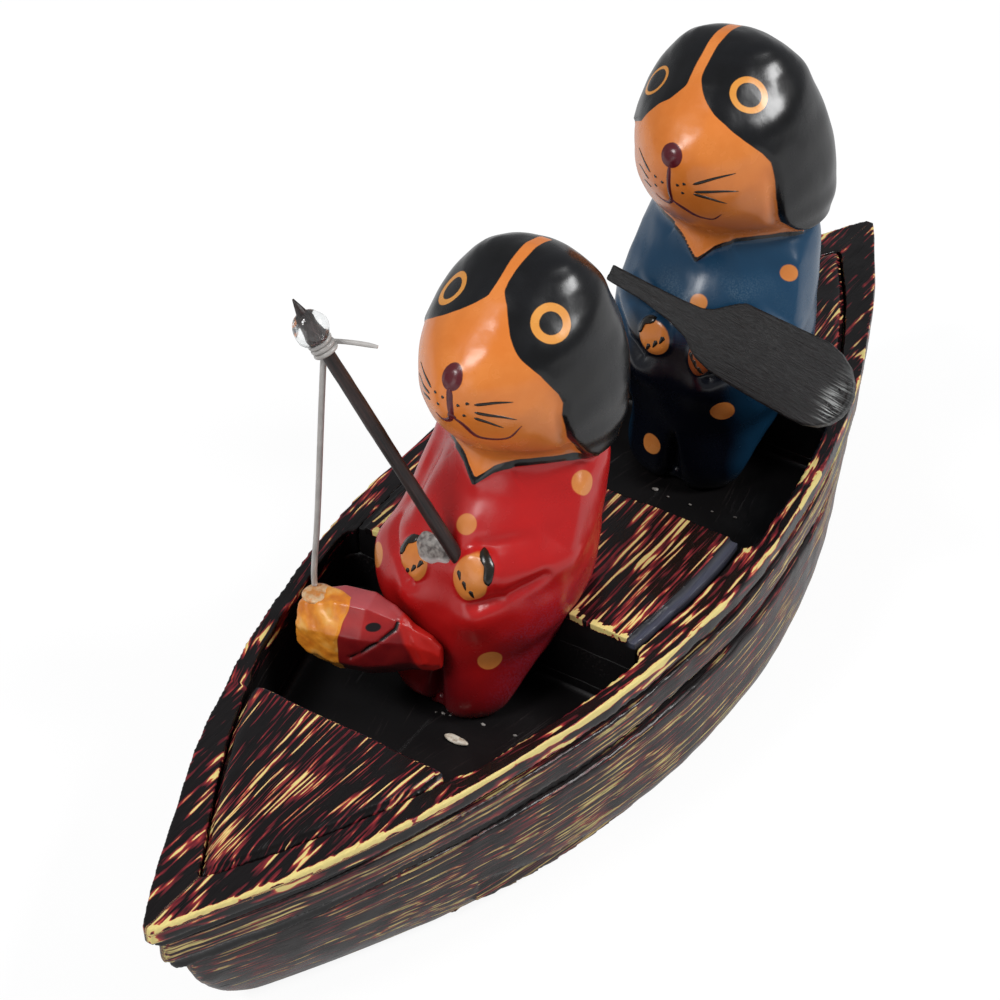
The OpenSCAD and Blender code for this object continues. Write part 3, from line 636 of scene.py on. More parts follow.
def cap_distance(points, dog):
    """Distance into the black cap from its painted edge; below 0 is on the orange face."""
    x, y, z = points.T
    around = np.arctan2(x, HEAD_AXIS - y)
    limits = []
    for side in ("port", "starboard"):
        edge = np.array(dog[side])[::-1]
        limits.append(np.interp(z, edge[:, 2], np.arctan2(edge[:, 0], HEAD_AXIS - edge[:, 1])))
    front = np.maximum(around - limits[1], limits[0] - around) * np.hypot(x, HEAD_AXIS - y)
    top = min(dog["port"][0][2], dog["starboard"][0][2])
    front = np.where(z > top, np.maximum(front, (z - top) * 1.2 - 0.8), front)
    blaze = np.abs(x - dog["blaze"]) - 1.35 - 0.25 * ripple(points, 9, 51)
    blaze = np.maximum(blaze, np.maximum(y - 41, 100 - z))
    cap = np.minimum(front, blaze)
    # The ears and the back of the cap end in a round lower edge over the collar.
    hem, corner = z - dog["hem"], 5.0
    rounded = corner - np.hypot(np.minimum(0, cap - corner), np.minimum(0, hem - corner))
    return np.minimum(np.minimum(cap, hem), rounded)


def dog_relief(points, normals, dog):
    """Raises the ears, sleeves, knees, paws and nose from the plain pattern, and cuts the creases."""
    x, y, z = points.T
    facing = step_up(-normals[:, 1], -0.1, 0.3)
    lift = np.zeros(len(points))
    cap = cap_distance(points, dog)
    lift += 0.9 * step_up(cap, -0.3, 1.6) * step_up(-z, -94, -80)
    lift -= 0.5 * near(cap + 1.2, 1.3) * step_up(z, 58, 61) * step_up(-z, -86, -76)
    lift -= 0.5 * step_up(-cap, 0, 0.8) * near(z - dog["hem"], 2.4) * (y > 16)
    # A soft hollow under the jaw and round the neck, and a thick painted line round the collar.
    lift -= 1.0 * near(z - 63.0, 3.0) * step_up(-y, -34, -20) * step_up(-cap, -1.0, 0.5)
    lift += 1.3 * near(z - 62.5, 5.0) * step_up(cap, -0.2, 2.5)
    lift += 0.35 * near(collar_height(points), dog["piping"]) * (y < 30)
    for side in (-1, 1):
        paw = dog["paws"][0 if side < 0 else 1]
        wrist = (paw[0] + side * 1.5, 2.5, paw[1] - 0.5)
        elbow, shoulder = (side * 21.5, 16, 41.5), (side * 20, 24, 55)
        sleeve = np.minimum(from_segment(points, wrist, elbow), from_segment(points, elbow, shoulder) + 1.5)
        lift += (1.7 if side > 0 else 0.9) * near(sleeve, 4.6)
        crease = np.minimum(from_segment(points, (side * 8.5, 1.2, 33.6), (side * 14.5, 3, 36.2)),
                            from_segment(points, (side * 14.5, 3, 36.2), (side * 20.5, 9.5, 40.5)))
        lift -= 1.6 * near(crease, 1.5)
        lift -= 0.9 * near(from_segment(points, (side * 7, 5, 46.5), (side * 16, 10, 49)), 1.8)
        oval = np.hypot((x - paw[0]) / paw[2], (z - paw[1]) / paw[3])
        lift += 1.1 * step_up(-oval, -1.25, -0.75) * facing
        lift += 1.9 * near(np.hypot(x - side * 7.5, z - 29.5), 5) * facing
        lift += 1.2 * near(np.hypot(x - side * 7.5, z - 5), 6.5) * facing
    notch = near(x / (3.6 - 0.16 * np.clip(z, 0, 16)), 0.62) * step_up(-z, -17, -9)
    lift -= 4.2 * notch * facing
    lift += dog["hip"] * near(from_segment(points, (-19, 5, 24), (-21.5, 12, 31)), 7)
    lift -= dog["arm"] * near(from_segment(points, (-22, 13, 45), (-20, 19, 56)), 8)
    nose = dog["nose"]
    in_nose = -np.hypot((x - nose[0]) / nose[2], (z - nose[1]) / nose[3])
    lift += 0.55 * step_up(in_nose, -1.1, -0.4) * facing * (z > 80)
    lift += 0.22 * ripple(points, 12, 61) + 0.05 * ripple(points, 4.5, 62)
    raised = points + normals * lift[:, None]
    raised[:, 2] += dog["foot_lift"] * step_up(-x, 1, 4) * step_up(-z, -9, 0) * (y < 20)
    return raised


def place_on_boat(points, dog):
    """Takes points of the pattern to a dog's place: its size, lean and turn, flat on floor and seat."""
    points = np.asarray(points, float) * dog["height"] / PATTERN_HEIGHT
    x, y, z = points.T
    x = x + z * math.tan(math.radians(dog["lean"][1]))
    y = y - z * math.tan(math.radians(dog["lean"][0]))
    c, s = math.cos(math.radians(dog["lean"][2])), math.sin(math.radians(dog["lean"][2]))
    feet = dog["feet"]
    placed = np.stack([feet[0] + x * c - y * s, feet[1] + x * s + y * c, feet[2] + np.maximum(z, 0)], 1)
    behind, under = placed[:, 1] - dog["seat"][0], dog["seat"][1] - placed[:, 2]
    hidden = (behind > 0) & (under > 0)
    placed[hidden & (behind <= under), 1] = dog["seat"][0]
    placed[hidden & (behind > under), 2] = dog["seat"][1] + 0.02
    return placed


def stroke(marks, ground, dog, route, width, steps=14, taper=0.25, height=0.12):
    """Adds one raised brush stroke to marks, along a route of (x, z) laid on the front of the pattern."""
    route = np.array(route, float)
    along = np.concatenate([[0], np.cumsum(np.linalg.norm(np.diff(route, axis=0), axis=1))])
    run = smooth_through(along, route, np.linspace(0, along[-1], steps))
    lay_stroke(marks, ground, dog, [((x, -60, z), (0, 1, 0)) for x, z in run], width, taper, height)


def lay_stroke(marks, ground, dog, rays, width, taper, height):
    """Lays a ridge of paint, blunt at its start and thin at its end, where the rays meet the figure."""
    hits = [ground.ray_cast(Vector(start), Vector(way)) for start, way in rays]
    hits = [h for h in hits if h[0] is not None]
    middles = np.array([h[0] for h in hits])
    outwards = np.array([h[1] for h in hits])
    ahead = np.gradient(middles, axis=0)
    across = np.cross(outwards, ahead)
    across /= np.linalg.norm(across, axis=1)[:, None]
    share = np.linspace(-1, 1, len(middles))
    thinned = 1 - (1 - taper) * ((share + 1) / 2) ** 1.5
    half = width / 2 * thinned * np.sqrt(np.maximum(0.04, 1 - share ** 6))
    rows = []
    for side, lift in ((-1, -0.12), (-0.8, 0.6 * height), (0, height), (0.8, 0.6 * height), (1, -0.12)):
        rows.append(middles + across * (half * side)[:, None] + outwards * lift)
    placed = [place_on_boat(row, dog) * MM for row in rows]
    grid = [[marks.verts.new(placed[j][i]) for j in range(5)] for i in range(len(middles))]
    for a, b in zip(grid, grid[1:]):
        for j in range(5):
            marks.faces.new((a[j], a[(j + 1) % 5], b[(j + 1) % 5], b[j]))
    marks.faces.new(grid[0][::-1])
    marks.faces.new(grid[-1])


def bead(marks, ground, dog, x, z, radius):
    """Adds one small round blob of paint to marks."""
    stroke(marks, ground, dog, ((x - radius * 0.8, z), (x, z + 0.01), (x + radius * 0.8, z)), radius * 2,
           steps=7, taper=0.35, height=0.15)


def piece_from(mesh_code, name, material, slot):
    """Makes a bmesh a named and painted piece."""
    bmesh.ops.recalc_face_normals(mesh_code, faces=mesh_code.faces)
    mesh = bpy.data.meshes.new(name)
    mesh_code.to_mesh(mesh)
    mesh_code.free()
    piece = bpy.data.objects.new(name, mesh)
    smooth_faces(piece)
    bpy.context.scene.collection.objects.link(piece)
    finish_piece(piece, name, material, slot)


def gloss_paint(name, colour, worn):
    """Thick gloss paint laid in one stroke: an even dark line with a wet edge."""
    material, tree = new_material(name)
    place = add(tree, "TexCoord", output="Object")
    brushed = add(tree, "TexNoise", {"Vector": place, "Scale": 420.0, "Detail": 3.0}, output="Fac")
    shade = add(tree, "ValToRGB", {"Fac": brushed}, stops=[(0.35, linear(colour)), (0.8, linear(worn))])
    bump = add(tree, "Bump", {"Height": brushed, "Strength": 0.3, "Distance": 0.0001}, output="Normal")
    surface(tree, add(tree, "BsdfPrincipled", {
        "Base Color": shade, "Roughness": 0.25, "IOR": 1.5, "Normal": bump}))
    return material


line_black = gloss_paint("black gloss paint, lined", "17140F", "2A241C")
line_maroon = gloss_paint("maroon gloss paint, lined", "4E161E", "6A2228")


def dog_paint(name, tunic, tunic_shaded, tunic_dust_and_sheen, dust):
    """Gloss paint in flat areas: orange skin, black cap, and a tunic with orange spots.

    Brushed oil paint on wood: slightly mottled colour, hand-drawn edges and a wavy gloss.
    """
    material, tree = new_material(name)
    place = add(tree, "TexCoord", output="Object")
    mottle = add(tree, "TexNoise", {"Vector": place, "Scale": 90.0, "Detail": 4.0, "Roughness": 0.6},
                 output="Fac")
    grit = add(tree, "TexNoise", {"Vector": place, "Scale": 2600.0, "Detail": 3.0}, output="Fac")
    streaks = add(tree, "VectorMath", {0: place, 1: (1.0, 1.0, 0.25)}, operation="MULTIPLY")
    streaks = add(tree, "TexNoise", {"Vector": streaks, "Scale": 420.0, "Detail": 2.0}, output="Fac")

    def painted(layer, inside, outside, edge=0.12):
        """One colour inside the layer's painted outline and one outside, with a hand-drawn edge."""
        wavy = add(tree, "Math", {0: mottle, 1: 0.5, 2: layers[layer]}, operation="MULTIPLY_ADD")
        share = add(tree, "MapRange", {"Value": wavy, "From Min": 0.25 - edge, "From Max": 0.25 + edge},
                    output="Result")
        return add(tree, "Mix", {0: share, 6: inside, 7: outside}, output=2, data_type="RGBA")

    layers = {layer: add(tree, "Attribute", output="Fac", attribute_name=layer) for layer in (
        "deep", "dust", "shade", "stain", "spots", "collar", "paws", "nose", "piping", "cap", "eye", "pupil")}
    face, spot, paw, black, ring = (
        add(tree, "ValToRGB", {"Fac": mottle}, stops=[(0.35, linear(low)), (0.7, linear(high))])
        for low, high in (("DE7C30", "E88A40"), ("D07A38", "DC8E4A"), ("D07A38", "DE8C40"),
                          ("060607", "0D0E12"), ("DE9038", "E8A04A")))
    # Painted shade: the tunic darkens towards its shaded colour where the deep layer is high, low on the body
    # and between the legs.
    deep = add(tree, "Math", {0: mottle, 1: 0.5, 2: layers["deep"]}, operation="MULTIPLY_ADD")
    deep = add(tree, "MapRange", {"Value": deep, "From Min": 0.1, "From Max": 1.2}, output="Result")
    cloth = add(tree, "Mix", {0: deep, 6: linear(tunic), 7: linear(tunic_shaded)}, output=2, data_type="RGBA")
    # Pale specks on the tunic: real dust on the rear dog's chest, and a painted lilac sheen with fine scuffs
    # low on the front dog's starboard flank.
    specks = add(tree, "MapRange", {"Value": grit, "From Min": 0.42, "From Max": 0.7,
                                    "To Min": 0.0, "To Max": dust}, output="Result")
    dust_and_sheen_share = add(tree, "Math", {0: layers["dust"], 1: specks}, operation="MULTIPLY")
    cloth = add(tree, "Mix", {0: dust_and_sheen_share, 6: cloth, 7: linear(tunic_dust_and_sheen)}, output=2, data_type="RGBA")
    # Painted shade: the face darkens to brown under the jaw and low on its starboard side, unevenly.
    shade_mottle = add(tree, "Math", {0: mottle, 1: 1.1, 2: 0.45}, operation="MULTIPLY_ADD")
    shade = add(tree, "Math", {0: layers["shade"], 1: shade_mottle}, operation="MULTIPLY")
    face = add(tree, "Mix", {0: shade, 6: face, 7: linear("8E4C2C")}, output=2, data_type="RGBA")
    # Painted shadow of the paddle on the rear dog's starboard paw.
    paw = add(tree, "Mix", {0: layers["stain"], 6: paw, 7: linear("7A3420")}, output=2, data_type="RGBA")
    colour = painted("spots", spot, cloth)
    colour = painted("collar", colour, face)
    colour = painted("paws", paw, colour)
    colour = painted("nose", linear("5A1A22"), colour, 0.06)
    colour = painted("piping", black, colour, 0.1)
    colour = painted("cap", colour, black)
    colour = painted("eye", ring, colour, 0.1)
    colour = painted("pupil", black, colour, 0.1)
    gloss = add(tree, "MapRange", {"Value": mottle, "From Min": 0.3, "From Max": 0.75,
                                   "To Min": 0.22, "To Max": 0.31}, output="Result")
    rough_height = add(tree, "Math", {0: streaks, 1: 0.6, 2: mottle}, operation="MULTIPLY_ADD")
    bump = add(tree, "Bump", {"Height": rough_height, "Strength": 0.3, "Distance": 0.0002},
               output="Normal")
    surface(tree, add(tree, "BsdfPrincipled", {
        "Base Color": colour, "Roughness": gloss, "IOR": 1.5, "Normal": bump}))
    return material


# Each dog's tunic colour, its colour in painted shade, and the colour and strength of its dust and painted
# sheen.
DOG_PAINTS = {
    "front": (dog_paint("red, orange and black gloss paint on wood", "B81818", "500810", "905070", 0.45),
              "red_dog_paint"),
    "rear": (dog_paint("blue, orange and black gloss paint on wood", "17405E", "070A14", "7890A0", 0.7),
             "blue_dog_paint")}
for name, dog in DOGS.items():
    deselect()
    pattern.select_set(True)
    bpy.context.view_layer.objects.active = pattern
    bpy.ops.object.duplicate()
    figure = bpy.context.object
    plain = points_of(figure)
    carved = dog_relief(plain, normals_of(figure), dog)
    move_points(figure, carved)
    x, y, z = carved.T
    facing, far = y < 30, 30.0
    store(figure, "cap", cap_distance(plain, dog))
    collar = collar_height(plain)
    store(figure, "collar", collar)
    store(figure, "piping", np.where(facing, np.abs(collar) - dog["piping"], far))
    for layer, radius in (("eye", 3), ("pupil", 4)):
        store(figure, layer, np.min([np.linalg.norm(carved - np.array(eye[:3]), axis=1) - eye[radius]
                                     for eye in dog["eyes"]], axis=0))
    store(figure, "spots", np.min([np.linalg.norm(carved - np.array(spot[:3]), axis=1) - spot[3]
                                   for spot in dog["spots"]], axis=0))
    store(figure, "paws", np.where(facing, np.min([
        (np.hypot((x - px) / rx, (z - pz) / rz) - 1) * rx for px, pz, rx, rz in dog["paws"]], axis=0), far))
    nx, nz, nrx, nrz = dog["nose"]
    store(figure, "nose", np.where(facing, (np.hypot((x - nx) / nrx, (z - nz) / nrz) - 1) * nrx, far))
    # Painted shade under the jaw and on the lower starboard cheek.
    under_jaw = 0.5 * near(z - 66.5, 4.2) * step_up(z, 61, 64) * step_up(-x, -18, -12)
    store(figure, "shade", under_jaw + 0.3 * step_up(x, 8, 20) * step_up(-z, -84, -70))
    # Painted shadow: the rear dog's starboard paw is darkened to brown where the paddle shades it. Painted
    # shade also darkens both tunics low down, the rear one nearly to black below the paws.
    store(figure, "stain", (name == "rear") * 0.8 * (x > 0) * (z < 47))
    if name == "front":
        # Painted shade low on the front dog's tunic and in the cleft between its legs.
        deep = 0.75 * step_up(-z, -26, -4) + 0.5 * near(np.abs(x), 5) * near(z - 12, 12)
        # Painted sheen, lilac, in specks low on the starboard flank, with fine scuffs.
        dust = step_up(x, 10, 20) * step_up(-z, -42, -22) * (1 + 0.4 * ripple(carved, 12, 71))
    else:
        # Painted shade: the rear dog's tunic nearly black below the paws, less on its sides.
        deep = 1.1 * step_up(-z, -47, -37) - 1.0 * step_up(np.abs(x), 11, 18)
        # Pale dust in streaks across the chest.
        dust = (0.7 * near(z - 49, 5) * step_up(ripple(carved * (1, 1, 0.6), 9, 72), -0.4, 1.2)
                * near(x - 4, 12))
    store(figure, "deep", deep - 0.1)
    store(figure, "dust", np.clip(dust, 0, 1))

    ground = BVHTree.FromPolygons(carved.tolist(), [tuple(f.vertices) for f in figure.data.polygons])
    black_marks, maroon_marks = bmesh.new(), bmesh.new()
    for whisker in dog["whiskers"]:
        (x0, z0), (x1, z1) = whisker
        bow = ((x0 + x1) / 2, (z0 + z1) / 2 + 0.35)
        stroke(black_marks, ground, dog, (whisker[0], bow, whisker[1]), 0.95, taper=0.3)
    for fx, fz in dog["freckles"]:
        bead(black_marks, ground, dog, fx, fz, 0.48)
    # Three claws on each paw, and a thick black cuff round its outer side.
    for (px, pz, rx, rz), side in zip(dog["paws"], (-1, 1)):
        for dx, dz in ((-0.55, 0.12), (-0.15, -0.22), (0.3, -0.55)):
            cx, cz = px + side * dx * rx, pz + dz * rz
            claw = ((cx - side * 0.5, cz + 1.0), (cx + side * 0.4, cz - 1.0))
            stroke(black_marks, ground, dog, claw, 1.35, steps=7, height=0.14)
        cuff = [(px + side * rx * out, pz + rz * up) for out, up in ((0.1, 1.08), (0.8, 0.72), (1.05, 0))]
        stroke(black_marks, ground, dog, cuff, 2.5, taper=0.8, height=0.22)
    (nose_x, nose_z), (mouth_x, mouth_z) = dog["nose"][:2], dog["mouth"]
    halfway = ((nose_x + mouth_x) / 2, (nose_z + mouth_z) / 2)
    stroke(maroon_marks, ground, dog, ((nose_x, nose_z - 2), halfway, dog["mouth"]), dog["lip"], taper=0.95)
    bead(maroon_marks, ground, dog, *dog["mouth"], dog["lip"] * 0.72)
    stroke(maroon_marks, ground, dog, dog["smile"], 1.25, steps=22, taper=0.4)
    stroke(maroon_marks, ground, dog, dog["smirk"], 1.0 + dog["piping"] * 0.7, taper=0.35)

    move_points(figure, place_on_boat(carved, dog))
    paint, slot = DOG_PAINTS[name]
    finish_piece(figure, name + "_dog_carved", paint, slot, name + "_dog")
    piece_from(black_marks, name + "_dog_whiskers", line_black, slot)
    piece_from(maroon_marks, name + "_dog_mouth", line_maroon, slot)
bpy.data.objects.remove(pattern)

# The pegs that pin the dogs to their seats are bare birch dowel, out of sight inside the wood.
birch, tree = new_material("bare birch dowel")
place = add(tree, "TexCoord", output="Object")
long_grain = add(tree, "VectorMath", {0: place, 1: (1.0, 1.0, 0.06)}, operation="MULTIPLY")
fibres = add(tree, "TexNoise", {"Vector": long_grain, "Scale": 2200.0, "Detail": 3.0}, output="Fac")
wood = add(tree, "ValToRGB", {"Fac": fibres}, stops=[(0.35, linear("B8986A")), (0.65, linear("D2B68A"))])
bump = add(tree, "Bump", {"Height": fibres, "Strength": 0.3, "Distance": 0.0001}, output="Normal")
surface(tree, add(tree, "BsdfPrincipled", {"Base Color": wood, "Roughness": 0.65, "Normal": bump}))
for node in ("front_dog_peg", "rear_dog_peg"):
    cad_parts[node].data.materials.clear()
    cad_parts[node].data.materials.append(birch)

# ---- Fishing rod, glue drop and knot ----
# A dark stained stick with a whittled point, pushed into the front dog's paws. The line is wound
# round it below the tip and held by a drop of clear glue.
ROD_DIAMETER, ROD_LENGTH, ROD_POINT, ROD_DEPTH = 3.1, 64, 5, 9
ROD_PLACE, ROD_TURN, ROD_SLANT = (3.2, 3, 44), -161, 27.5
ROD_RINGS = 36
DROP_PLACE, DROP_DIAMETER = 61.5, 8
front_size = DOGS["front"]["height"] / PATTERN_HEIGHT
rod_frame = (Matrix.Translation(Vector(DOGS["front"]["feet"]) + Vector(ROD_PLACE) * front_size)
             @ Matrix.Rotation(math.radians(ROD_TURN), 4, "Z")
             @ Matrix.Rotation(math.radians(ROD_SLANT), 4, "Y"))


def along_rod(points):
    """Takes points given along the rod, from where it leaves the dog, to the boat."""
    turn = np.array(rod_frame.to_3x3())
    return np.asarray(points) @ turn.T + np.array(rod_frame.translation)


deselect()
bpy.ops.mesh.primitive_circle_add(vertices=20, radius=ROD_DIAMETER / 2 * MM, fill_type="NGON",
                                  location=(0, 0, -ROD_DEPTH * MM))
rod = bpy.context.object
bpy.ops.object.mode_set(mode="EDIT")
bpy.ops.mesh.select_all(action="SELECT")
ring_step = (ROD_LENGTH + ROD_DEPTH) / ROD_RINGS
for _ in range(ROD_RINGS):
    bpy.ops.mesh.extrude_region_move(TRANSFORM_OT_translate={"value": (0, 0, ring_step * MM)})
for share in (0.75, 0.6, 0.3):
    bpy.ops.mesh.extrude_region_move(TRANSFORM_OT_translate={"value": (0, 0, ROD_POINT / 3 * MM)})
    bpy.ops.transform.resize(value=(share, share, 1))
bpy.ops.mesh.select_all(action="SELECT")
bpy.ops.mesh.normals_make_consistent(inside=False)
bpy.ops.object.mode_set(mode="OBJECT")
bpy.ops.object.transform_apply()
stick = points_of(rod)
whittled = 1 + 0.035 * ripple(stick * (1, 1, 0.5), 9, 81) + 0.02 * ripple(stick, 3, 82)
stick[:, :2] *= np.where(stick[:, 2] > 1, whittled, 1)[:, None]
store(rod, "grain", stick)
move_points(rod, along_rod(stick))
smooth_faces(rod)

# Stained bamboo or twig: satin, dark brown, with fine lengthwise fibres.
stained, tree = new_material("dark stained stick")
grain = add(tree, "Attribute", output="Vector", attribute_name="grain")
long_grain = add(tree, "VectorMath", {0: grain, 1: (2.4, 2.4, 0.12)}, operation="MULTIPLY")
fibres = add(tree, "TexNoise", {"Vector": long_grain, "Scale": 1.0, "Detail": 4.0}, output="Fac")
wood = add(tree, "ValToRGB", {"Fac": fibres}, stops=[(0.35, linear("14100F")), (0.7, linear("3A2826"))])
bump = add(tree, "Bump", {"Height": fibres, "Strength": 0.5, "Distance": 0.0003}, output="Normal")
surface(tree, add(tree, "BsdfPrincipled", {
    "Base Color": wood, "Roughness": 0.42, "IOR": 1.5, "Normal": bump}))
finish_piece(rod, "fishing_rod_stick", stained, "rod_stain", "fishing_rod")


def join_pieces(first, second):
    """Makes two pieces one, under the first one's name."""
    deselect()
    second.select_set(True)
    first.select_set(True)
    bpy.context.view_layer.objects.active = first
    bpy.ops.object.join()


def lumpy_ball(place, diameter, lumps, seed, stretch=(1, 1, 1), level=4):
    """A ball of set glue with its own lumps, in place."""
    deselect()
    bpy.ops.mesh.primitive_ico_sphere_add(subdivisions=level, radius=diameter / 2 * MM)
    ball = bpy.context.object
    points = points_of(ball)
    outwards = points / np.linalg.norm(points, axis=1)[:, None]
    points = points * stretch + outwards * (lumps * ripple(points + seed * 7, diameter * 0.55, seed))[:, None]
    move_points(ball, points + np.asarray(place))
    smooth_faces(ball)
    return ball


# Hot-melt glue: clear, slightly clouded, with a wet gloss.
clear_glue, tree = new_material("clear hot-melt glue")
place = add(tree, "TexCoord", output="Object")
cloud = add(tree, "TexNoise", {"Vector": place, "Scale": 500.0, "Detail": 3.0}, output="Fac")
haze = add(tree, "MapRange", {"Value": cloud, "From Min": 0.4, "From Max": 0.7,
                              "To Min": 0.03, "To Max": 0.22}, output="Result")
bump = add(tree, "Bump", {"Height": cloud, "Strength": 0.35, "Distance": 0.0004}, output="Normal")
surface(tree, add(tree, "BsdfPrincipled", {
    "Base Color": linear("F2F4F4"), "Roughness": haze, "IOR": 1.48, "Transmission Weight": 0.97,
    "Normal": bump}))
drop = lumpy_ball(along_rod([(0, 0, DROP_PLACE)])[0], DROP_DIAMETER * 0.99, 0.22, 3)
finish_piece(drop, "tip_glue_bead", clear_glue, "clear_glue", "tip_glue_drop")

turn_radius = (ROD_DIAMETER + LINE_DIAMETER) / 2
wraps_top = DROP_PLACE - math.sqrt((DROP_DIAMETER / 2) ** 2 - (ROD_DIAMETER / 2 + LINE_DIAMETER) ** 2)
deselect()
for i in range(3):
    bpy.ops.mesh.primitive_torus_add(major_radius=turn_radius * MM, minor_radius=0.42 * LINE_DIAMETER * MM,
                                     major_segments=40, minor_segments=12,
                                     location=(0, 0, (wraps_top - LINE_DIAMETER * (0.5 + 0.9 * i)) * MM),
                                     rotation=(0.06 * (i - 1), 0.05, 0))
    if i:
        join_pieces(knot, bpy.context.object)
    else:
        knot = bpy.context.object
bpy.ops.object.transform_apply()
move_points(knot, along_rod(points_of(knot)))
smooth_faces(knot)
finish_piece(knot, "line_knot_turns", nylon, "nylon_line", "line_knot")
# The short end leaves the knot's side and stands out, a little bowed and cut to a point.
TAIL_LENGTH = 10.4
a = math.radians(-107)
tail_start = np.array([turn_radius * math.cos(a), turn_radius * math.sin(a), wraps_top - LINE_DIAMETER * 1.7])
tail_way = np.array((Matrix.Rotation(a, 3, "Z") @ Matrix.Rotation(math.radians(-70), 3, "Z")
                     @ Matrix.Rotation(math.radians(124.5), 3, "Y")) @ Vector((0, 0, 1)))
shares = np.arange(12) / 11
lifted = shares * (1.1 + 1.2 * (1 - shares))
bowed = along_rod(tail_start + np.outer(shares, tail_way * TAIL_LENGTH)) + np.outer(lifted, (0, 0, 1))
tail = nylon_run("loose_line_end", bowed * MM, 0.4 * LINE_DIAMETER)
tail.data.use_fill_caps = True
for share, point in zip(shares, tail.data.splines[0].points):
    point.radius = 1 if share < 0.8 else 1 - 1.6 * (share - 0.8)
finish_piece(tail, "loose_line_end", nylon, "nylon_line")

# ---- Fish ----
# A small fish whittled in flat facets and painted red, with an orange mouth, a cut jaw and a raised
# fin. The line is set in a blob of glue on its mouth.
FISH_LENGTH, FISH_DEPTH, FISH_THICKNESS = 33, 18, 15
FISH_TURN = 15
FISH_MOUTH = np.array(LINE_ROUTE[-1]) + (-1.6, -2.5, -9)
FISH_SECTIONS = np.array([
    (0, 0.34, 0.32, 0), (0.05, 0.41, 0.4, 0), (0.28, 0.53, 0.5, 0.01), (0.5, 0.53, 0.48, 0.01),
    (0.64, 0.45, 0.36, -0.02), (0.72, 0.39, 0.26, -0.04), (0.78, 0.34, 0.18, -0.07),
    (0.92, 0.26, 0.12, -0.12), (0.985, 0.16, 0.09, -0.15)])


def place_fish(points):
    """Takes points given along the fish, from its mouth, to the boat."""
    c, s = math.cos(math.radians(FISH_TURN)), math.sin(math.radians(FISH_TURN))
    points = np.asarray(points, float)
    return np.stack([points[:, 0] * c - points[:, 1] * s, points[:, 0] * s + points[:, 1] * c, points[:, 2]],
                    1) + FISH_MOUTH


deselect()
bpy.ops.mesh.primitive_circle_add(vertices=8, radius=0.004, fill_type="NGON", rotation=(0, math.pi / 2, 0))
fish = bpy.context.object
bpy.ops.object.transform_apply()
bpy.ops.object.mode_set(mode="EDIT")
bpy.ops.mesh.select_all(action="SELECT")
for i, (along, deep, thick, rise) in enumerate(FISH_SECTIONS):
    if i:
        bpy.ops.mesh.extrude_region_move()
    facets = bmesh.from_edit_mesh(fish.data)
    for corner, v in enumerate(in_turn([v for v in facets.verts if v.select], 1, 2)):
        around = math.radians(22.5 + 45 * corner)
        v.co = Vector((along * FISH_LENGTH, thick * FISH_THICKNESS * math.cos(around) / math.cos(math.pi / 8),
                       rise * FISH_DEPTH + deep * FISH_DEPTH * math.sin(around) / math.cos(math.pi / 8))) * MM
    bmesh.update_edit_mesh(fish.data)
bpy.ops.mesh.select_all(action="SELECT")
bpy.ops.mesh.normals_make_consistent(inside=False)
bpy.ops.object.mode_set(mode="OBJECT")
remesh(fish, 0.35, 2)
cut = points_of(fish)
outwards = normals_of(fish)
x, y, z = cut.T
mouth_edge = 11.0 + 0.2 * np.maximum(0, z - 3) - 2.0 * np.clip(y + 0.5, 0, 3.5) + 0.35 * ripple(cut, 6, 91)
in_mouth = step_up(mouth_edge - x, 0, 0.6)
lift = in_mouth * (0.2 + 0.14 * ripple(cut, 3.2, 92) + 0.05 * ripple(cut, 1.5, 93))
lift = lift + 0.05 * ripple(cut, 4, 94)
# The jaw is a long groove below and behind the eye, and the fin's front edge stands up behind it.
jaw_route = [(23.3, -1.6, 6.6), (22.9, -2.7, 5.1), (21.3, -4.5, 4.1), (18.2, -6.6, 1.9), (13.6, -7.3, -1.8)]
fin_route = [(21.3, 1.5, 7.6), (24.9, 0.2, 5.2), (27, -1.8, 2), (28.8, -1.9, -3.4)]
jaw, fin = (np.min([from_segment(cut, a, b) for a, b in zip(route, route[1:])], axis=0)
            for route in (jaw_route, fin_route))
lift += 0.45 * near(fin, 0.8) - 0.6 * near(jaw, 0.5)
lift -= 0.3 * np.min([near(from_segment(cut, (20, -6, -1 - 3 * i), (12, -6.5, -4 - 2.5 * i)), 0.5)
                      for i in range(2)], axis=0)
cut = cut + outwards * lift[:, None]
store(fish, "mouth", mouth_edge - x)
in_fin = step_up(x - 25.5 + 0.35 * z, -0.5, 0.5)
# Painted shade on the fish's underside, darker towards the bottom.
store(fish, "under", (1 - in_fin) * np.clip(0.55 * step_up(-z, -7, -1) + 0.45 * step_up(-z, 1, 7), 0, 1))
# Painted sheen on the facets that face up.
store(fish, "bloom", step_up(outwards[:, 2], 0.75, 0.98) * (1 - in_fin))
store(fish, "bright", in_fin)
store(fish, "gill", np.where(x > 16, jaw, jaw + 0.15))
# The eye is an oval of 1.6 by 1 mm half width on the sloping facet above the jaw.
across_eye = np.stack([x - 18.5, (z - 6.2) * 0.8 + (y + 4.5) * 0.55], 1)
oval = np.hypot((across_eye @ (0.97, 0.25)) / 1.6, across_eye @ (-0.25, 0.97)) - 1
store(fish, "eye", np.where((y < -1) & (z > 2), oval, 9))
move_points(fish, place_fish(cut))

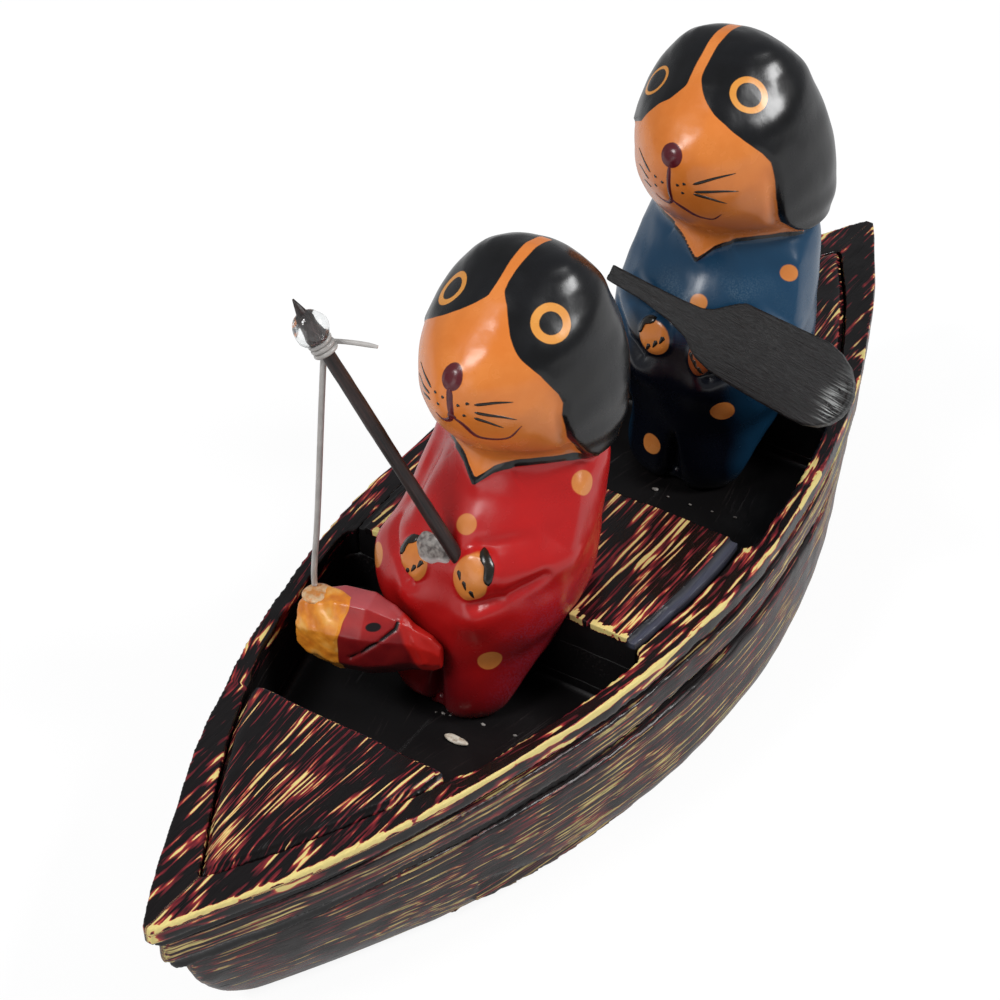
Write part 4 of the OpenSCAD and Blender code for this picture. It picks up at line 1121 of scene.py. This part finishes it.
# Gloss paint on knife-cut wood: red, brighter on the fin, with a pale painted sheen on the facets that face up
# and painted shade beneath, and a mottled orange mouth.
fish_paint, tree = new_material("red and orange gloss paint on a whittled fish")
place = add(tree, "TexCoord", output="Object")
mottle = add(tree, "TexNoise", {"Vector": place, "Scale": 240.0, "Detail": 4.0}, output="Fac")
red = add(tree, "ValToRGB", {"Fac": mottle}, stops=[(0.35, linear("96181C")), (0.7, linear("AC2422"))])
colour = red
for layer, strength, ink in (("bright", 1.0, "C4201A"), ("under", 1.0, "4A0C10"), ("bloom", 0.5, "C06A70")):
    share = add(tree, "Attribute", output="Fac", attribute_name=layer)
    share = add(tree, "Math", {0: share, 1: strength}, operation="MULTIPLY")
    colour = add(tree, "Mix", {0: share, 6: colour, 7: linear(ink)}, output=2, data_type="RGBA")
orange = add(tree, "ValToRGB", {"Fac": mottle}, stops=[
    (0.3, linear("D07420")), (0.78, linear("F6C06A")), (0.52, linear("EA942E"))])
# Each layer's limit, and the colour to put below or above it.
for layer, limit, below, above in (("mouth", 0.0, None, orange), ("gill", 0.42, linear("1C0A0C"), None),
                                   ("eye", 0.0, linear("14090B"), None)):
    distance = add(tree, "Attribute", output="Fac", attribute_name=layer)
    share = add(tree, "MapRange", {"Value": distance, "From Min": limit - 0.1, "From Max": limit + 0.1},
                output="Result")
    colour = add(tree, "Mix", {0: share, 6: below or colour, 7: above or colour}, output=2, data_type="RGBA")
bump = add(tree, "Bump", {"Height": mottle, "Strength": 0.35, "Distance": 0.0003}, output="Normal")
surface(tree, add(tree, "BsdfPrincipled", {
    "Base Color": colour, "Roughness": 0.32, "IOR": 1.5, "Normal": bump}))
finish_piece(fish, "fish_carved", fish_paint, "fish_paint", "fish", body="catch")

# ---- Paddle ----
# A flat paddle cut from thin board, its edges rubbed round, stained charcoal so that the open grain
# shows. It is glued across the rear dog's paws.
PADDLE_LENGTH = 70
PADDLE_PLACE, PADDLE_TILT, PADDLE_TURN, HELD_AT = (2.6, -1, 48.2), 45, -9, 23.5
rear_size = DOGS["rear"]["height"] / PATTERN_HEIGHT
paddle_frame = (Matrix.Translation(Vector(DOGS["rear"]["feet"]) + Vector(PADDLE_PLACE) * rear_size)
                @ Matrix.Rotation(math.radians(PADDLE_TILT), 4, "X")
                @ Matrix.Rotation(math.radians(PADDLE_TURN), 4, "Z") @ Matrix.Translation((-HELD_AT, 0, 0)))


def on_paddle(points):
    """Takes points given along and across the paddle, from its top, to the boat."""
    return np.asarray(points) @ paddle_way.T + np.array(paddle_frame.translation)


paddle = carved_copy("paddle", 0.4, 3)
paddle_way = np.array(paddle_frame.to_3x3())
board = (points_of(paddle) - np.array(paddle_frame.translation)) @ paddle_way
store(paddle, "grain", board)
along, across = board[:, 0], board[:, 1]
worn_tip = 0.5 * near(along - PADDLE_LENGTH + 1.5, 1.6) * (board[:, 2] > 1.5)
board[:, 2] += 0.12 * ripple(board * (0.3, 1, 0), 5, 101) - worn_tip
polish = 0.7 + 0.5 * ripple(board * (0.5, 1, 0), 3, 102)
store(paddle, "shine", near(along - PADDLE_LENGTH + 3.4, 2.6) * near(across + 1.5, 6) * polish)
move_points(paddle, on_paddle(board))

# Stained lime or pine: fibres about 0.4 mm apart, charcoal and satin. The tip is worn glossier, and pale grey
# streaks along its fibres there are a painted highlight.
charcoal, tree = new_material("charcoal stained board")
grain = add(tree, "Attribute", output="Vector", attribute_name="grain")
shine = add(tree, "Attribute", output="Fac", attribute_name="shine")
long_grain = add(tree, "VectorMath", {0: grain, 1: (0.1, 2.2, 0.6)}, operation="MULTIPLY")
fibres = add(tree, "TexNoise", {"Vector": long_grain, "Scale": 1.0, "Detail": 4.0, "Roughness": 0.65},
             output="Fac")
wood = add(tree, "ValToRGB", {"Fac": fibres}, stops=[
    (0.3, linear("070708")), (0.75, linear("1F1F20")), (0.5, linear("0F0F10"))])
# Painted highlight: pale grey streaks along the fibres where the tip shines.
shine_streaks = add(tree, "MapRange", {"Value": fibres, "From Min": 0.5, "From Max": 0.6,
                                   "To Min": 0.0, "To Max": 0.8}, output="Result")
shine_streaks = add(tree, "Math", {0: shine_streaks, 1: shine}, operation="MULTIPLY")
wood = add(tree, "Mix", {0: shine_streaks, 6: wood, 7: linear("C4C8C6")}, output=2, data_type="RGBA")
gloss = add(tree, "MapRange", {"Value": shine, "From Min": 0.0, "From Max": 0.8,
                               "To Min": 0.5, "To Max": 0.22}, output="Result")
bump = add(tree, "Bump", {"Height": fibres, "Strength": 0.7, "Distance": 0.0005}, output="Normal")
surface(tree, add(tree, "BsdfPrincipled", {
    "Base Color": wood, "Roughness": gloss, "IOR": 1.5, "Normal": bump}))
finish_piece(paddle, "paddle_board", charcoal, "paddle_stain", "paddle")

# ---- Glue marks ----
# Spots of dried glue: a crusted patch where the rod meets the paws, a blob on the fish's mouth with
# the line in it, one behind the paddle, a chip and a few crumbs on the well floors.
def dried_glue(name, low, high, clear):
    """White wood glue or hot-melt glue, set hard: milky, lumpy, with a soft shine."""
    material, tree = new_material(name)
    place = add(tree, "TexCoord", output="Object")
    crust = add(tree, "TexNoise", {"Vector": place, "Scale": 900.0, "Detail": 4.0}, output="Fac")
    shade = add(tree, "ValToRGB", {"Fac": crust}, stops=[(0.35, linear(low)), (0.62, linear(high))])
    whitened = add(tree, "Attribute", output="Fac", attribute_name="crust")
    shade = add(tree, "Mix", {0: whitened, 6: shade, 7: linear("F0EEEA")}, output=2, data_type="RGBA")
    bump = add(tree, "Bump", {"Height": crust, "Strength": 0.6, "Distance": 0.0003}, output="Normal")
    surface(tree, add(tree, "BsdfPrincipled", {
        "Base Color": shade, "Roughness": 0.34, "IOR": 1.48, "Transmission Weight": clear, "Normal": bump}))
    return material


crusted = dried_glue("crusted white glue", "5E5856", "A8A29C", 0.15)
amber = dried_glue("amber hot-melt glue", "E8A050", "F6DDB0", 0.35)
patch_place = along_rod([(0, 0, 1)])[0] + (-4.6, -0.4, -1.9)
patch = lumpy_ball(patch_place, 5.8, 0.32, 5, stretch=(1.6, 0.62, 1.5))
# The patch is grey and wet at the top, and dried to a white crust at its lower edge.
place = points_of(patch) - patch_place
store(patch, "crust", step_up(-place[:, 2] + 0.25 * place[:, 0] + 0.5 * ripple(place, 2.2, 120), 0.6, 2.0))
finish_piece(patch, "paw_glue_patch", crusted, "dried_glue", "paw_glue")
blob = lumpy_ball(place_fish([(3.9, 0.1, 7.9)])[0], 4.6, 0.3, 6, stretch=(1.65, 1.45, 0.52))
finish_piece(blob, "mouth_glue_blob", amber, "dried_glue", "mouth_glue", body="catch")
back_blob = lumpy_ball(on_paddle([(18.5, 0, -2.6)])[0], 5.8, 0.2, 7, stretch=(1.2, 0.95, 1.0))
finish_piece(back_blob, "paddle_glue_blob", crusted, "dried_glue", "paddle_glue")
chip = lumpy_ball((8.7, -57.1, FLOOR + 0.55), 3.2, 0.14, 8, stretch=(1.95, 0.7, 0.34), level=3)
yellowed = dried_glue("yellowed glue flake", "B09C88", "E4DACA", 0.1)
finish_piece(chip, "floor_glue_flake", yellowed, "dried_glue", "floor_glue_chip")

# Crumbs of the same glue, half a millimetre to a millimetre across, stuck to the floors.
CRUMBS = ((-0.3, -52.1, 0.7), (1.2, -51.5, 0.9), (2.9, -51.2, 0.7), (10.8, -49.6, 0.9), (18.8, -48.6, 0.8),
          (-0.9, 42.3, 1.3), (3.2, 41.7, 0.6), (9.4, 41.9, 0.7), (15.3, 42.5, 0.6), (21.2, 43.5, 0.8))
deselect()
for i, (x, y, width) in enumerate(CRUMBS):
    crumb = lumpy_ball((x, y, FLOOR + 0.2 * width), width, 0.1 * width, 110 + i, stretch=(1.3, 0.8, 0.5),
                       level=2)
    if i:
        join_pieces(crumbs, crumb)
    else:
        crumbs = crumb
finish_piece(crumbs, "floor_glue_crumbs", crusted, "dried_glue")
